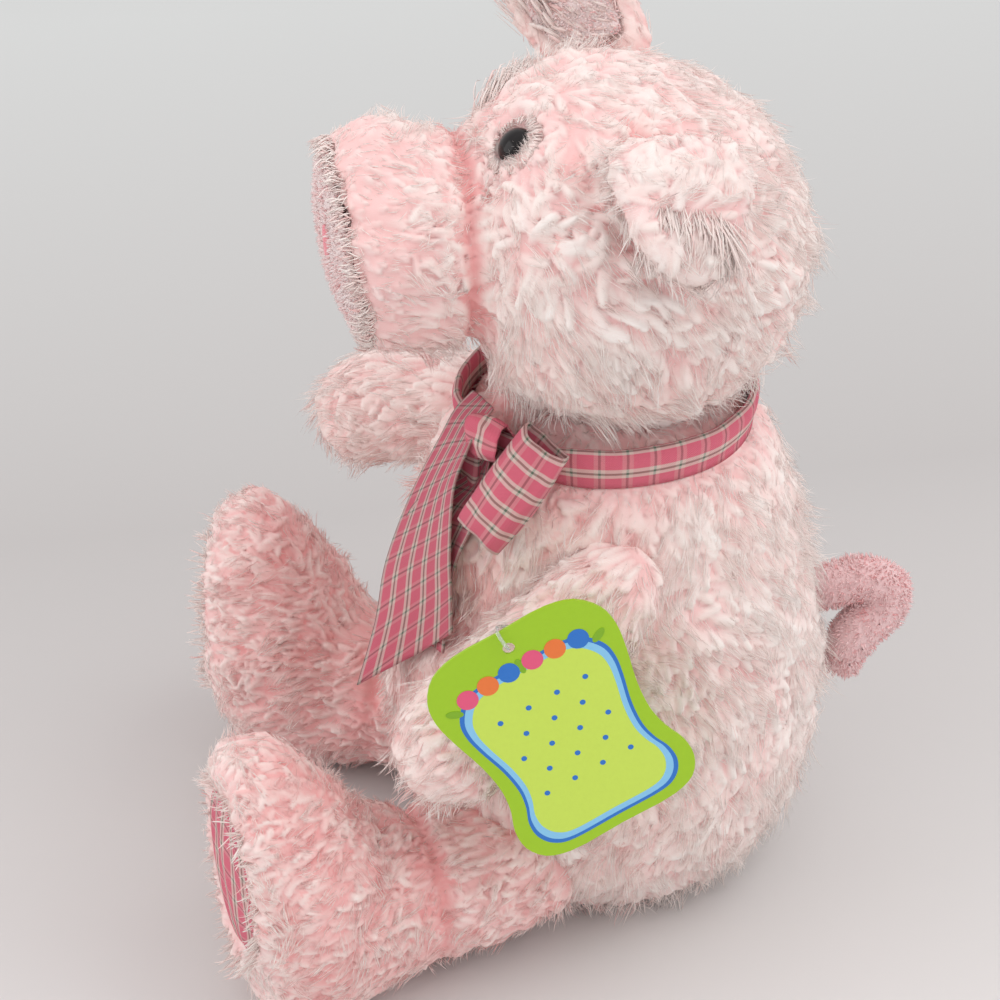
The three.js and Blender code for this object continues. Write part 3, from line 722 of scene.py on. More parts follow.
class Coat:
    """Locks of pile on one skin: each is a soft flat body with loose hairs beside it."""

    STEPS = np.array((0.0, 0.4, 0.74, 0.92, 1.0))
    GIRTHS = np.array((0.7, 1.0, 0.86, 0.5, 0.0))
    SIDES = 4
    HAIR_STEPS = np.array((0.0, 0.6, 1.0))
    HAIR_GIRTHS = np.array((0.8, 1.0, 0.0))
    TUFT = 5
    # How broad the patches of tint and the swirls in the lay are, in metres
    FINE_PATCH, BROAD_PATCH = 0.0045, 0.011
    FINE_SWIRL, BROAD_SWIRL = 0.009, 0.022

    def __init__(self, skin, seed, comb, length, thickness, density, **manner):
        pile = settings().pile
        self.skin = skin
        self.rng = np.random.default_rng(seed)
        self.comb = comb
        self.length = length
        self.thickness = thickness
        self.density = density
        # How steeply the locks rise, how far they follow the comb, stray from it and hang, how many hairs are
        # beside each and how thick they are, where the map starts and how far the normals are softened
        self.manner = {
            "rise": 0.26, "lay": 0.95, "stray": 0.42, "clumping": pile.clumping, "drop": 0.08,
            "body": True, "hairs": 3, "hair": pile.hair, "base": 0.0, "blend": 0.2,
            "creases": (), "normals": None, **manner,
        }

    def wander(self, points, size):
        """A smooth field of directions that turns over a given distance."""
        total = np.zeros_like(points)
        for _ in range(5):
            way = self.rng.normal(size=(3, 3)) / size * 1.9
            phase = self.rng.uniform(0, math.tau, 3)
            total += np.sin(points @ way + phase)
        return total / 2.2

    def patches(self, points, mottle):
        """Patches of paler and darker pile, as strong as the mottle there. Where they are used the darker
        patches also lie lower, so their pinker tint is partly random tone and partly painted shade.
        """
        fine, broad = self.wander(points, self.FINE_PATCH), self.wander(points, self.BROAD_PATCH)
        return (fine[:, 0] * 0.6 + broad[:, 1] * 0.6) * mottle

    def roots(self):
        """Evenly spread roots on the skin, and the way out of it there."""
        mesh = self.skin.data
        mesh.calc_loop_triangles()
        co = rows_of(mesh, "co")
        nor = self.manner["normals"]
        if nor is None:
            nor = rows_of(mesh, "normal")
        tri = np.zeros(len(mesh.loop_triangles) * 3, np.int32)
        mesh.loop_triangles.foreach_get("vertices", tri)
        tri = tri.reshape(-1, 3)
        corner = co[tri]
        area = np.linalg.norm(np.cross(corner[:, 1] - corner[:, 0], corner[:, 2] - corner[:, 0]), axis=1) / 2
        count = int(area.sum() / MM**2 * self.density)
        reach = np.cumsum(area) / area.sum()
        place = (np.arange(count) + self.rng.random(count)) / count
        pick = np.minimum(np.searchsorted(reach, place), len(tri) - 1)
        a, b = self.rng.random((2, count))
        over = a + b > 1
        a[over], b[over] = 1 - a[over], 1 - b[over]
        share = np.stack([1 - a - b, a, b], 1)[:, :, None]
        return (corner[pick] * share).sum(1), unit((nor[tri][pick] * share).sum(1))

    def locks(self):
        """Grows the locks: each leaves its root, lies down along the comb and draws to its clump's lead."""
        manner = self.manner
        root, out = self.roots()
        count = len(root)
        centres = self.rng.permutation(count)[: max(count // self.TUFT, 1)]
        tree = tree_of(root[centres])
        lead = centres[np.array([tree.find(p)[1] for p in root])]

        comb, scale, tint, mottle = self.comb(root)
        comb, scale, tint = pulled_aside(manner["creases"], root, comb, scale, tint)
        patch = self.patches(root, mottle)
        # A patch sets the locks' length, lift and tint together: the low, pinker ones are partly painted
        # shade.
        scale = scale * (1 + 0.14 * np.clip(patch, -1.5, 1.5))
        tint = tint + 0.24 * patch
        comb = comb - out * row_dot(comb, out)
        low = self.wander(root, self.BROAD_SWIRL)
        low -= out * row_dot(low, out)
        curl = self.wander(root, self.FINE_SWIRL)
        own = self.rng.normal(size=root.shape)
        common = self.rng.normal(size=root.shape)[lead]
        lift = np.clip(manner["rise"] + 0.16 * patch, 0.06, 1.0)[:, None]
        way = out * lift + comb * manner["lay"] + low * manner["stray"] + curl * 0.22 + common * 0.12
        way = unit(way + own * 0.1)
        bend = comb * 0.2 + curl * 0.26 + common * 0.15 + own * 0.1 - out * 0.08
        bend[:, 2] -= manner["drop"]
        long = self.length * scale * (0.8 + 0.4 * self.rng.random(count))
        long *= 0.9 + 0.2 * self.rng.random(count)[lead]
        t = self.STEPS[None, :, None]
        size = long[:, None, None]
        own_path = root[:, None] + size * (way[:, None] * t + bend[:, None] * t**2)
        lead_path = root[lead][:, None] + size * (way[lead][:, None] * t + bend[lead][:, None] * t**2)
        draw = manner["clumping"] * t * (0.7 + 0.6 * self.rng.random(count))[:, None, None]
        self.path = own_path + (lead_path - own_path) * np.clip(draw, 0, 0.9)
        tint = tint + 0.13 * self.rng.normal(size=count) + 0.16 * self.rng.normal(size=count)[lead]
        self.tint = np.clip(tint, 0, 1)
        self.out = out
        self.girth = self.thickness / 2 * (0.7 + 0.6 * self.rng.random(count)) * np.clip(scale, 0.5, 1.2)

    def keep(self, wanted):
        for row in ("path", "tint", "out", "girth"):
            setattr(self, row, getattr(self, row)[wanted])

    def shorten(self, share):
        """Draws each lock back to its root by its own share, and drops those with next to nothing left."""
        self.path = self.path[:, :1] + (self.path - self.path[:, :1]) * share[:, None, None]
        self.girth = self.girth * np.clip(share * 1.4, 0.3, 1)
        self.keep(share > 0.22)

    def near(self, box, margin):
        low, high = box
        reaches = (self.path.max(1) > low - margin) & (self.path.min(1) < high + margin)
        return np.nonzero(reaches.all(1))[0]

    def clear_of_soft(self, others):
        """Keeps the roots outside the other skins and the tips from going deep into them."""
        for shape, box in others:
            share = np.ones(len(self.path))
            for i in self.near(box, 0.001):
                root, tip = (height_over(shape, self.path[i, k]) for k in (0, -1))
                if root < CLEARANCE:
                    share[i] = 0
                elif tip < -DEEPEST:
                    share[i] = 0.5
            self.shorten(share)

    def clear_of_hard(self, others):
        """Ends each lock before it would pass through a hard or flat piece."""
        for shape, box in others:
            share = np.ones(len(self.path))
            for i in self.near(box, 0.0):
                for k in range(len(self.STEPS) - 1):
                    a, b = Vector(self.path[i, k]), Vector(self.path[i, k + 1])
                    gap = (b - a).length
                    hit = shape.ray_cast(a, (b - a) / max(gap, 1e-9), gap + CLEARANCE)
                    if hit[0] is not None:
                        steps = self.STEPS
                        share[i] = 0.8 * (steps[k] + (steps[k + 1] - steps[k]) * hit[3] / max(gap, 1e-9))
                        break
            self.shorten(share)

    def above(self, height):
        """Lays the locks that would reach below the floor along it."""
        z = self.path[:, :, 2]
        self.path[:, :, 2] = np.where(z < height, height + 0.15 * np.abs(z - height), z)

    def tapered(self, path, out, half_width, half_depth, sides, girths, steps, tint, spread):
        """Closed tapered bodies along short paths that end in a tip: their points, faces, map and normals."""
        count, rings = path.shape[0], path.shape[1] - 1
        along = unit(np.gradient(path, axis=1))
        side = unit(np.cross(along, self.grain[:count, None]))
        other = np.cross(along, side)
        points = np.zeros((count, rings * sides + 1, 3))
        for k in range(rings):
            for c in range(sides):
                turn = math.tau * c / sides
                wide, deep = ((half * girths[k])[:, None] for half in (half_width, half_depth))
                points[:, sides * k + c] = (
                    path[:, k] + side[:, k] * math.cos(turn) * wide + other[:, k] * math.sin(turn) * deep
                )
        points[:, -1] = path[:, -1]
        off_floor(points, FLOOR_LOCK)
        faces, flat = [], []
        for c in range(1, sides - 1):
            faces.append((0, c + 1, c))
            flat += [(0, 0.0), (c + 1, 0.012), (c, 0.0)]
        for k in range(rings - 1):
            for c in range(sides):
                d = (c + 1) % sides
                a, b, e, f = sides * k + c, sides * k + d, sides * (k + 1) + d, sides * (k + 1) + c
                faces += [(a, b, e), (a, e, f)]
                low, high = steps[k], steps[k + 1]
                flat += [(c, low), (c + 1, low), (c + 1, high), (c, low), (c + 1, high), (c, high)]
        last = sides * (rings - 1)
        for c in range(sides):
            faces.append((last + c, last + (c + 1) % sides, rings * sides))
            flat += [(c, steps[-2]), (c + 1, steps[-2]), (c + 0.5, 1.0)]
        faces, flat = np.array(faces), np.array(flat, float)
        size = rings * sides + 1
        soft = np.repeat(unit(out * 0.75 + UP * 0.35), size, axis=0)
        all_faces = (faces[None] + size * np.arange(count)[:, None, None]).reshape(-1, 3)
        corners = np.zeros((count, len(flat), 2))
        corners[:, :, 0] = (0.01 + (0.97 - spread) * tint)[:, None] + flat[:, 0] * spread / sides
        corners[:, :, 1] = flat[:, 1]
        return points.reshape(-1, 3), all_faces, corners.reshape(-1, 2), soft

    def mesh(self, name, wanted=None):
        """One mesh of the locks and their hairs."""
        path, tint, girth, out = self.path, self.tint, self.girth, self.out
        if wanted is not None:
            path, tint, girth, out = path[wanted], tint[wanted], girth[wanted], out[wanted]
        tint = whole_span(tint)
        manner = self.manner
        parts = []
        if manner["body"]:
            self.grain = out + 0.35 * self.rng.normal(size=out.shape)
            form = (self.SIDES, self.GIRTHS, self.STEPS)
            parts.append(self.tapered(path, out, girth, girth * 0.3, *form, tint, 0.07))
        fine = path[:, (0, 2, -1)]
        for _ in range(manner["hairs"]):
            shift = self.rng.normal(size=out.shape) * girth[:, None] * 1.1
            stretch = 0.85 + 0.35 * self.rng.random(len(path))
            tips = self.rng.normal(size=out.shape) * girth[:, None] * 0.55
            hair = fine[:, :1] + (fine - fine[:, :1]) * stretch[:, None, None]
            hair = hair + shift[:, None] * np.array((1.0, 0.9, 0.5))[None, :, None]
            hair[:, 2] += tips + out * (0.0009 * self.rng.random(len(path)))[:, None]
            off_floor(hair, FLOOR_HAIR)
            self.grain = self.rng.normal(size=out.shape)
            thin = np.full(len(path), manner["hair"] / 2) * (0.7 + 0.6 * self.rng.random(len(path)))
            shade = np.clip(tint + 0.12 * self.rng.normal(size=len(path)), 0, 1)
            form = (3, self.HAIR_GIRTHS, self.HAIR_STEPS)
            parts.append(self.tapered(hair, out, thin, thin, *form, shade, 0.01))
        starts = np.cumsum([0] + [len(p[0]) for p in parts[:-1]])
        points = np.concatenate([p[0] for p in parts])
        faces = np.concatenate([p[1] + start for p, start in zip(parts, starts)])
        corners, soft = (np.concatenate([p[k] for p in parts]) for k in (2, 3))
        corners[:, 1] = manner["base"] + (1 - manner["base"]) * corners[:, 1]
        return build(name, points, faces, corners, soft, manner["blend"])


def obstacle(piece):
    """A piece as a shape to measure from, with its box."""
    points = rows_of(piece.data, "co")
    return shape_of(piece), (points.min(0), points.max(0))


# What each operator leaves for the next: skins by body, hard or flat pieces, and the eyes' places
BUILT = {"skins": {}, "hard": [], "eyes": []}

# Each soft skin, by its body: its name, the nodes it stands for, its voxel size and how long it is relaxed
COVERS = {
    "torso": ("body_plush", ("body_cover", "body_stuffing"), 0.0039, 4),
    "head": ("head_plush", ("head_cover", "muzzle_cover", "head_stuffing"), 0.0029, 4),
    "left_ear": ("ear_plush_left", ("ear_left",), 0.0012, 3),
    "right_ear": ("ear_plush_right", ("ear_right",), 0.0012, 3),
    "left_arm": ("arm_plush_left", ("arm_left", "arm_stuffing_left"), 0.0022, 4),
    "right_arm": ("arm_plush_right", ("arm_right", "arm_stuffing_right"), 0.0022, 4),
    "left_leg": ("leg_plush_left", ("leg_left", "leg_stuffing_left"), 0.0026, 4),
    "right_leg": ("leg_plush_right", ("leg_right", "leg_stuffing_right"), 0.0026, 4),
}


PAD_TILT = math.radians(9)
PAD_OUT = np.array((0.0, -math.cos(PAD_TILT), -math.sin(PAD_TILT)))
PAD_UP = np.array((0.0, -math.sin(PAD_TILT), math.cos(PAD_TILT)))
FOOT_TURNS = {"left": 14, "right": -27}


def centre_of(node):
    low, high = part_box(node)
    return np.array((low + high) / 2)


# An eye button's radius and the height of its dome, in millimetres
EYE_RADIUS, EYE_DOME = 5.0, 3.6


def eye_way(side):
    return np.array((side * 16.0, -36.0, 39.0))


def foot_ways(name):
    """The way that a foot faces, and the way across it."""
    turn = math.radians(FOOT_TURNS[name])
    way = np.array((math.sin(turn), -math.cos(turn), 0.0))
    return way, np.cross(UP, way)


def aimed(thing, way):
    """Turns a camera or a lamp to look a given way."""
    thing.rotation_mode = "QUATERNION"
    thing.rotation_quaternion = way.to_track_quat("-Z", "Y")


class PLUSHPIG_OT_studio(bpy.types.Operator):
    """Camera, floor and soft lamps"""

    bl_idname = "plushpig.studio"
    bl_label = "Studio"

    def execute(self, context):
        studio = settings().studio
        scene = context.scene
        scene.view_settings.view_transform = "Standard"
        a, e = studio.azimuth, studio.elevation
        back = Vector((math.sin(a) * math.cos(e), -math.cos(a) * math.cos(e), math.sin(e)))
        target = Vector((0.0, -0.004, 0.120))
        half_view = 0.1425
        camera = bpy.data.objects.new("camera", bpy.data.cameras.new("camera"))
        scene.collection.objects.link(camera)
        camera.location = target + back * studio.distance
        aimed(camera, -back)
        camera.data.sensor_width = 36.0
        camera.data.lens = camera.data.sensor_width / 2 * studio.distance / half_view
        camera.data.shift_x = -0.092
        camera.data.shift_y = 0.015
        camera.data.clip_start, camera.data.clip_end = 0.01, 20.0
        scene.camera = camera

        bpy.ops.mesh.primitive_plane_add(size=8.0, location=(0, 0, 0))
        floor = context.object
        floor.name = "floor"
        paper = Finish("floor_paper", Roughness=0.95, Specular_IOR_Level=0.05)
        # The floor is painted lighter towards the camera, a painted pool of light that lifts the pig's shadow
        # in front of it.
        across = paper.node("ShaderNodeSeparateXYZ", None, {0: paper.place()}, output=0) + 0.7
        ground = colour_of(studio, "floor")
        far, middle, near = (0.66, 0.69, 0.685), scaled(ground, 1.36), scaled(ground, 1.46)
        paper.use("Base Color", paper.ramp(across, [(0.0, far), (0.5, ground), (0.8, middle), (1.0, near)]))
        coloured(floor, paper.material)

        world = bpy.data.worlds.new("studio")
        scene.world = world
        world.use_nodes = True
        background = next(n for n in world.node_tree.nodes if n.type == "BACKGROUND")
        background.inputs["Color"].default_value = (1.0, 0.955, 0.955, 1.0)
        background.inputs["Strength"].default_value = 0.87
        for name, place, size, watts in (
            ("key_lamp", (0.35, 0.75, 1.25), 1.1, 5.3),
            ("top_lamp", (0.05, -0.15, 1.4), 1.3, 0.7),
            ("front_lamp", (0.1, -1.35, 0.75), 1.1, 4.6),
        ):
            lamp = bpy.data.objects.new(name, bpy.data.lights.new(name, "AREA"))
            scene.collection.objects.link(lamp)
            lamp.location = place
            aimed(lamp, Vector((0, 0, 0.12)) - lamp.location)
            lamp.data.size = size
            lamp.data.energy = watts
        return {"FINISHED"}


class PLUSHPIG_OT_covers(bpy.types.Operator):
    """Stuffed skins of the body, head, ears and limbs"""

    bl_idname = "plushpig.covers"
    bl_label = "Covers"

    def execute(self, context):
        backing = skin_finish("backing", (0.94, 0.72, 0.70), 0.01)
        for body, (name, nodes, voxel, relax) in COVERS.items():
            piece = grown(name, nodes, voxel, relax)
            finished(piece, body, backing, nodes)
            BUILT["skins"][body] = piece
        return {"FINISHED"}


def nap_comb(root):
    count = len(root)
    return np.tile((0.0, 0.3, -0.4), (count, 1)), np.ones(count), np.full(count, 0.5), np.zeros(count)


class PLUSHPIG_OT_velour(bpy.types.Operator):
    """Snout pad, ear linings and tail, in short pile"""

    bl_idname = "plushpig.velour"
    bl_label = "Velour"

    def execute(self, context):
        pile = settings().pile
        finishes = {}
        for tone, colour in (("pink", colour_of(pile, "velour")), ("pale", colour_of(pile, "pale_velour"))):
            paler = tuple(c + (1 - c) * 0.25 for c in colour)
            # The nap's root is painted darker: painted shade deep in the nap.
            nap = pile_finish("velour_" + tone, scaled(colour, 0.92), colour, paler, paler)
            finishes[tone] = (skin_finish("velour_backing_" + tone, colour, 0.004), nap)
        nostrils = [centre_of("nostril_" + side) for side in ("left", "right")]
        # Each piece: its name, node and body, its voxel size, how long it is relaxed, its seed and its tone
        pieces = (
            ("snout_pad_velour", "snout_pad", "head", 0.0013, 6, 21, "pale"),
            ("ear_lining_velour_left", "ear_lining_left", "left_ear", 0.0008, 2, 22, "pale"),
            ("ear_lining_velour_right", "ear_lining_right", "right_ear", 0.0008, 2, 23, "pale"),
            ("tail_velour", "tail", "curled_tail", 0.0011, 3, 24, "pink"),
        )
        for name, node, body, voxel, relax, seed, tone in pieces:
            backing, nap = finishes[tone]
            piece = grown(name, (node,), voxel, relax)
            if node == "tail":
                modified(piece, "DISPLACE", strength=1.7 * MM, mid_level=0.0)
                remeshed(piece, 4)
            finished(piece, body, backing, (node,))
            BUILT["hard"].append(obstacle(piece))
            BUILT["skins"][name] = piece

            coat = Coat(
                piece, seed, nap_comb, pile.nap, 0.3 * MM, NAP_DENSITY, rise=0.9, lay=0.4, stray=0.4,
                clumping=0.2, drop=0.0, hairs=1, body=False, hair=0.5 * MM, base=0.4,
            )
            coat.locks()
            for nostril in nostrils:
                apart = (coat.path[:, 0] - nostril) / (np.array((2.0, 3.0, 4.4)) * MM)
                coat.keep((apart**2).sum(1) > 1)
            finished(coat.mesh(name + "_nap"), body, nap)
        return {"FINISHED"}


class PLUSHPIG_OT_eyes(bpy.types.Operator):
    """Domed eye buttons and the washers behind them"""

    bl_idname = "plushpig.eyes"
    bl_label = "Eyes"

    def execute(self, context):
        gloss = Finish(
            "eye_black", Roughness=0.14, Specular_IOR_Level=0.25, Coat_Weight=0.08, Coat_Roughness=0.04
        )
        speck = gloss.noise(gloss.place(), 900.0, 2.0)
        gloss.use("Base Color", gloss.mixed(speck, (0.004, 0.004, 0.005), (0.012, 0.010, 0.010)))
        washer = plain_finish("washer_plastic", (0.80, 0.80, 0.78), (0.74, 0.74, 0.72), 0.004, Roughness=0.4)
        radius, dome, sink = EYE_RADIUS * MM, EYE_DOME * MM, 1.4 * MM
        for side, name in ((1, "left"), (-1, "right")):
            aim = Vector(eye_way(side)).normalized()
            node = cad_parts["eye_" + name]
            top = max(v.co.dot(aim) for v in node.data.vertices)
            ring = [v.co for v in node.data.vertices if v.co.dot(aim) > top - dome - sink * 0.5]
            seat = sum(ring, Vector()) / len(ring)
            seat += aim * (top - dome - seat.dot(aim))
            bpy.ops.object.select_all(action="DESELECT")
            bpy.ops.mesh.primitive_uv_sphere_add(segments=48, ring_count=24, radius=radius)
            eye = context.object
            eye.name = "eye_button_" + name
            base = (0, 0, -sink * radius / dome)
            cut = {"plane_co": base, "plane_no": (0, 0, 1), "use_fill": True, "clear_inner": True}
            flat = {"value": (1, 1, dome / radius)}
            in_edit_mode(eye, (bpy.ops.mesh.bisect, cut), (bpy.ops.transform.resize, flat))
            eye.data.transform(Matrix.Translation(seat) @ aim.to_track_quat("Z", "Y").to_matrix().to_4x4())
            smooth(eye)
            bpy.ops.object.shade_smooth_by_angle(angle=math.radians(50))
            finished(eye, "head", gloss.material, ("eye_" + name,))
            BUILT["hard"].append(obstacle(eye))
            BUILT["eyes"].append(np.array(seat))
            coloured(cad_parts["eye_washer_" + name], washer)
        return {"FINISHED"}


class PLUSHPIG_OT_nostrils(bpy.types.Operator):
    """Nostrils in satin stitch"""

    bl_idname = "plushpig.nostrils"
    bl_label = "Nostrils"

    def execute(self, context):
        deep, light = (0.78, 0.22, 0.27), (0.86, 0.36, 0.40)
        thread = plain_finish("nostril_thread", deep, light, 0.0012, Roughness=0.45, Sheen_Weight=0.3)
        aim, pad_up = Vector(PAD_OUT), Vector(PAD_UP)
        shape = shape_of(BUILT["skins"]["snout_pad_velour"])
        half_width, half_height, threads = 1.8 * MM, 4.2 * MM, 13
        for name in ("left", "right"):
            middle = Vector(centre_of("nostril_" + name))
            stitches = []
            for i in range(threads):
                share = 2 * (i + 0.5) / threads - 1
                bpy.ops.object.select_all(action="DESELECT")
                bpy.ops.mesh.primitive_cylinder_add(vertices=8, radius=0.42 * MM, depth=2.0 * MM)
                stitch = context.object
                in_edit_mode(stitch, (bpy.ops.mesh.subdivide, {"number_cuts": 2}))
                reach = half_width * math.sqrt(max(1 - share**2, 0.05))
                for v in stitch.data.vertices:
                    along = v.co.z / MM
                    start = middle + pad_up * (share * half_height) + Vector((1, 0, 0)) * (along * reach)
                    hit = shape.ray_cast(start + aim * 0.02, -aim, 0.05)[0] or start
                    pinch = math.sqrt(max(1 - 0.85 * along**2, 0.0))
                    lift = (0.75 * MM * pinch) + v.co.y * (0.5 + 0.5 * pinch)
                    v.co = hit + aim * lift + pad_up * (v.co.x * (0.6 + 0.4 * pinch))
                stitches.append(stitch)
            only(*stitches)
            bpy.ops.object.join()
            nostril = context.object
            nostril.name = "nostril_stitch_" + name
            facing_out(nostril)
            smooth(nostril)
            finished(nostril, "head", thread, ("nostril_" + name,))
        return {"FINISHED"}


class PLUSHPIG_OT_soles(bpy.types.Operator):
    """Checked patches sewn into the feet"""

    bl_idname = "plushpig.soles"
    bl_label = "Soles"

    def execute(self, context):
        thickness = settings().cloth.thickness
        half_width, half_height, bulge = 19.0 * MM, 26.0 * MM, 3.0 * MM
        check = checked_finish("sole_check", 2 * half_width, 2 * half_height, start=0.3)
        x, y = np.meshgrid(*[np.linspace(-1, 1, 25)] * 2)
        disc_x, disc_y = x * np.sqrt(1 - y**2 / 2), y * np.sqrt(1 - x**2 / 2)
        far = np.clip(1 - disc_x**2 - disc_y**2, 0, 1)
        ahead = bulge * far**0.6 + 0.25 * MM * np.sin(9 * disc_x + 4 * disc_y)
        disc_x, disc_y, ahead = (rows[..., None] for rows in (disc_x, disc_y, ahead))
        for name in FOOT_TURNS:
            way, right = foot_ways(name)
            centre = centre_of("sole_patch_" + name) - way * (bulge / 2)
            rows = centre + disc_x * half_width * right + disc_y * half_height * UP + ahead * way
            patch = cloth_sheet("sole_cloth_" + name, rows, thickness)
            finished(patch, name + "_leg", check, ("sole_patch_" + name,))
            BUILT["hard"].append(obstacle(patch))
        return {"FINISHED"}


# The bow, in millimetres: the half width and half depth of the neck ribbon's ring, its cross section, and the
# two edges of each tail
NECK_HALF_WIDTH, NECK_HALF_DEPTH = 37.2, 40.8
NECK_FOLD = [
    (0.0, 0.2), (0.25, 3.2), (1.2, 6.5), (1.5, 10.0), (0.5, 11.9), (-0.5, 11.2), (-0.3, 7.0), (-0.6, 3.0),
]
TAIL_EDGES = {
    "left": (
        [
            (12, -38.8, 171.5), (10, -43.3, 165.5), (8, -47.1, 157), (8, -56.1, 138.7), (9, -64.2, 117.2),
            (11, -68.1, 98.5), (12, -74.1, 77.6),
        ],
        [
            (23, -34.5, 171.5), (24, -38.6, 166), (25, -41.9, 160.7), (28, -46.6, 150.6), (32, -48.7, 133.5),
            (35, -49.0, 122), (37, -49, 110.5),
        ],
    ),
    "right": (
        [
            (20, -37, 156), (18.5, -42.5, 148.5), (12, -55, 138), (9, -59.5, 124), (8, -61, 110),
            (9, -62.5, 93),
        ],
        [
            (24, -36, 157.5), (26, -38, 150), (32, -42, 142), (31.5, -46.5, 130), (32, -49, 116),
            (33, -51, 101),
        ],
    ),
}


class PLUSHPIG_OT_bow(bpy.types.Operator):
    """Neck ribbon and its bow"""

    bl_idname = "plushpig.bow"
    bl_label = "Bow"

    def neck(self, width):
        """The ribbon round the neck, gathered: it shows one fold, with the rest tucked behind."""
        count, lowest = 120, 0.152
        fold = between(NECK_FOLD, 13) * MM
        knot_turn = math.radians(36)
        rows = []
        waves = np.random.default_rng(5).uniform(0, math.tau, 4)
        for i in range(count):
            a = math.tau * i / count + knot_turn
            sway = math.sin(3 * a + waves[0]) * 0.5 + math.sin(5 * a + waves[1]) * 0.35
            crease = math.sin(11 * a + waves[2]) * 0.3 + math.sin(17 * a + waves[3]) * 0.2
            near_knot = max(math.cos(a - knot_turn), 0.0) ** 14
            way = np.array((math.sin(a) * NECK_HALF_WIDTH, -math.cos(a) * NECK_HALF_DEPTH, 0.0)) * MM
            out = unit(np.array((math.sin(a) / NECK_HALF_WIDTH, -math.cos(a) / NECK_HALF_DEPTH, 0.0)))
            row = []
            for x, z in fold:
                height = lowest + z * (1 - 0.25 * near_knot) + sway * MM * 0.6 + near_knot * 0.003
                row.append(way + out * (x + crease * MM * 0.5 * (z / (12 * MM))) + np.array((0, 0, height)))
            rows.append(row)
        return cloth_sheet("neck_cloth", rows, width, closed=True)

    def strip(self, side, thickness, ripple, seed):
        """A tail of ribbon between its two edges."""
        count, across = 60, 15
        edges = [between(np.array(edge) * MM, count) for edge in TAIL_EDGES[side]]
        phase = np.random.default_rng(seed).uniform(0, math.tau, 3)
        rows = []
        for i in range(count):
            s = i / (count - 1)
            a, b = edges[0][i], edges[1][i]
            ahead = edges[0][min(i + 1, count - 1)] - edges[0][max(i - 1, 0)]
            out = unit(np.cross(b - a, ahead))
            row = []
            for j in range(across):
                t = j / (across - 1)
                bow = math.sin(math.pi * t) * 1.2 * MM
                wave = ripple * math.sin(math.pi * (2 * t + 1.3 * s) + phase[0]) * (0.4 + 0.6 * s)
                fold = 0.5 * MM * math.sin(9 * t + 5 * s + phase[1]) * (1 - s)
                row.append(a + (b - a) * t + out * (bow + wave + fold))
            rows.append(row)
        return cloth_sheet("bow_tail_cloth_" + side, rows, thickness)

    def sleeve(self, name, centre, axis, long, width, half_length, half_depth, thickness, seed):
        """A loop of ribbon, seen as a flattened sleeve with open ends."""
        axis = unit(np.array(axis, float))
        long = unit(np.array(long, float) - axis * np.dot(long, axis))
        out = np.cross(axis, long)
        phase = np.random.default_rng(seed).uniform(0, math.tau, 5)
        around, across = 48, 23
        rows = []
        for i in range(around):
            a = math.tau * i / around
            row = []
            for j in range(across):
                t = j / (across - 1) * 2 - 1
                swell = 1 - 0.14 * t**2
                x = half_length * math.cos(a) * swell
                y = half_depth * math.sin(a) * (1 - 0.1 * t**2)
                broad, fine = math.sin(3 * a + 2.1 * t + phase[0]), math.sin(7 * a - 3.0 * t + phase[1])
                dent = 0.3 * MM * (broad + 0.6 * fine)
                edge = 0.5 * MM * abs(t) ** 6 * math.sin(4 * a + phase[2])
                z = width / 2 * t + 0.7 * MM * math.sin(2 * a + phase[3]) * abs(t) ** 3 * (1 if t > 0 else -1)
                x *= 1 + dent / half_length
                row.append(np.array(centre) + long * x + out * (y + dent + edge) + axis * z)
            rows.append(row)
        return cloth_sheet(name, rows, thickness, closed=True)

    def execute(self, context):
        thickness = settings().cloth.thickness
        # How large each piece is when laid flat, across and along the ribbon, and the width of five checks
        neck_flat = (0.022, math.tau * (NECK_HALF_WIDTH + NECK_HALF_DEPTH) / 2 * MM)
        tail_flat, under_flat = (0.0305, 0.093), (0.0255, 0.063)
        near_flat, far_flat, knot_flat = (0.033, 0.0435), (0.021, 0.040), (0.0115, 0.034)
        five = 0.0365
        neck = self.neck(thickness)
        tail = self.strip("left", thickness, 0.6 * MM, 31)
        under = self.strip("right", thickness, 0.5 * MM, 32)
        near = self.sleeve(
            "bow_loop_cloth_left", np.array((36.0, -31.6, 154.4)) * MM, (-0.03, -0.55, -0.84),
            (0.7, 0.6, -0.39), near_flat[0], 8.3 * MM, 4.6 * MM, thickness, 33,
        )
        far = self.sleeve(
            "bow_loop_cloth_right", np.array((12.8, -41.9, 149.0)) * MM, (0.02, -0.1, -1.0),
            (0.95, 0.3, 0.0), far_flat[0], 9.3 * MM, 2.2 * MM, thickness, 34,
        )
        knot = self.sleeve(
            "bow_knot_cloth", centre_of("bow_knot"), (0.81, 0.585, 0.05), (0.0, 0.0, 1.0),
            knot_flat[0], 6.3 * MM, 4.2 * MM, thickness, 35,
        )
        # Each piece: its node, its checks with their size, start and lean, its flat size and how it is held
        for piece, node, checks, size, start, lean, flat, held in (
            (neck, "neck_ribbon", "neck_check", neck_flat, 0.3, 0.0, neck_flat, "gathered"),
            (tail, "bow_tail_left", "tail_check_left", (five, 0.095), 0.0, 1.3, tail_flat, "hung"),
            (under, "bow_tail_right", "tail_check_right", (five, 0.075), 0.0, 0.2, under_flat, "hung"),
            (near, "bow_loop_left", "loop_check_left", (five, near_flat[1]), -0.1, 0.0, near_flat, "folded"),
            (far, "bow_loop_right", "loop_check_right", (0.03, 0.042), 0.0, 0.0, far_flat, "folded"),
            (knot, "bow_knot", "knot_check", knot_flat, 0.2, 0.0, knot_flat, "folded"),
        ):
            check = checked_finish(checks, *size, start, lean)
            finished(piece, "torso", check, (node,))
            BUILT["hard"].append(obstacle(piece))
        return {"FINISHED"}


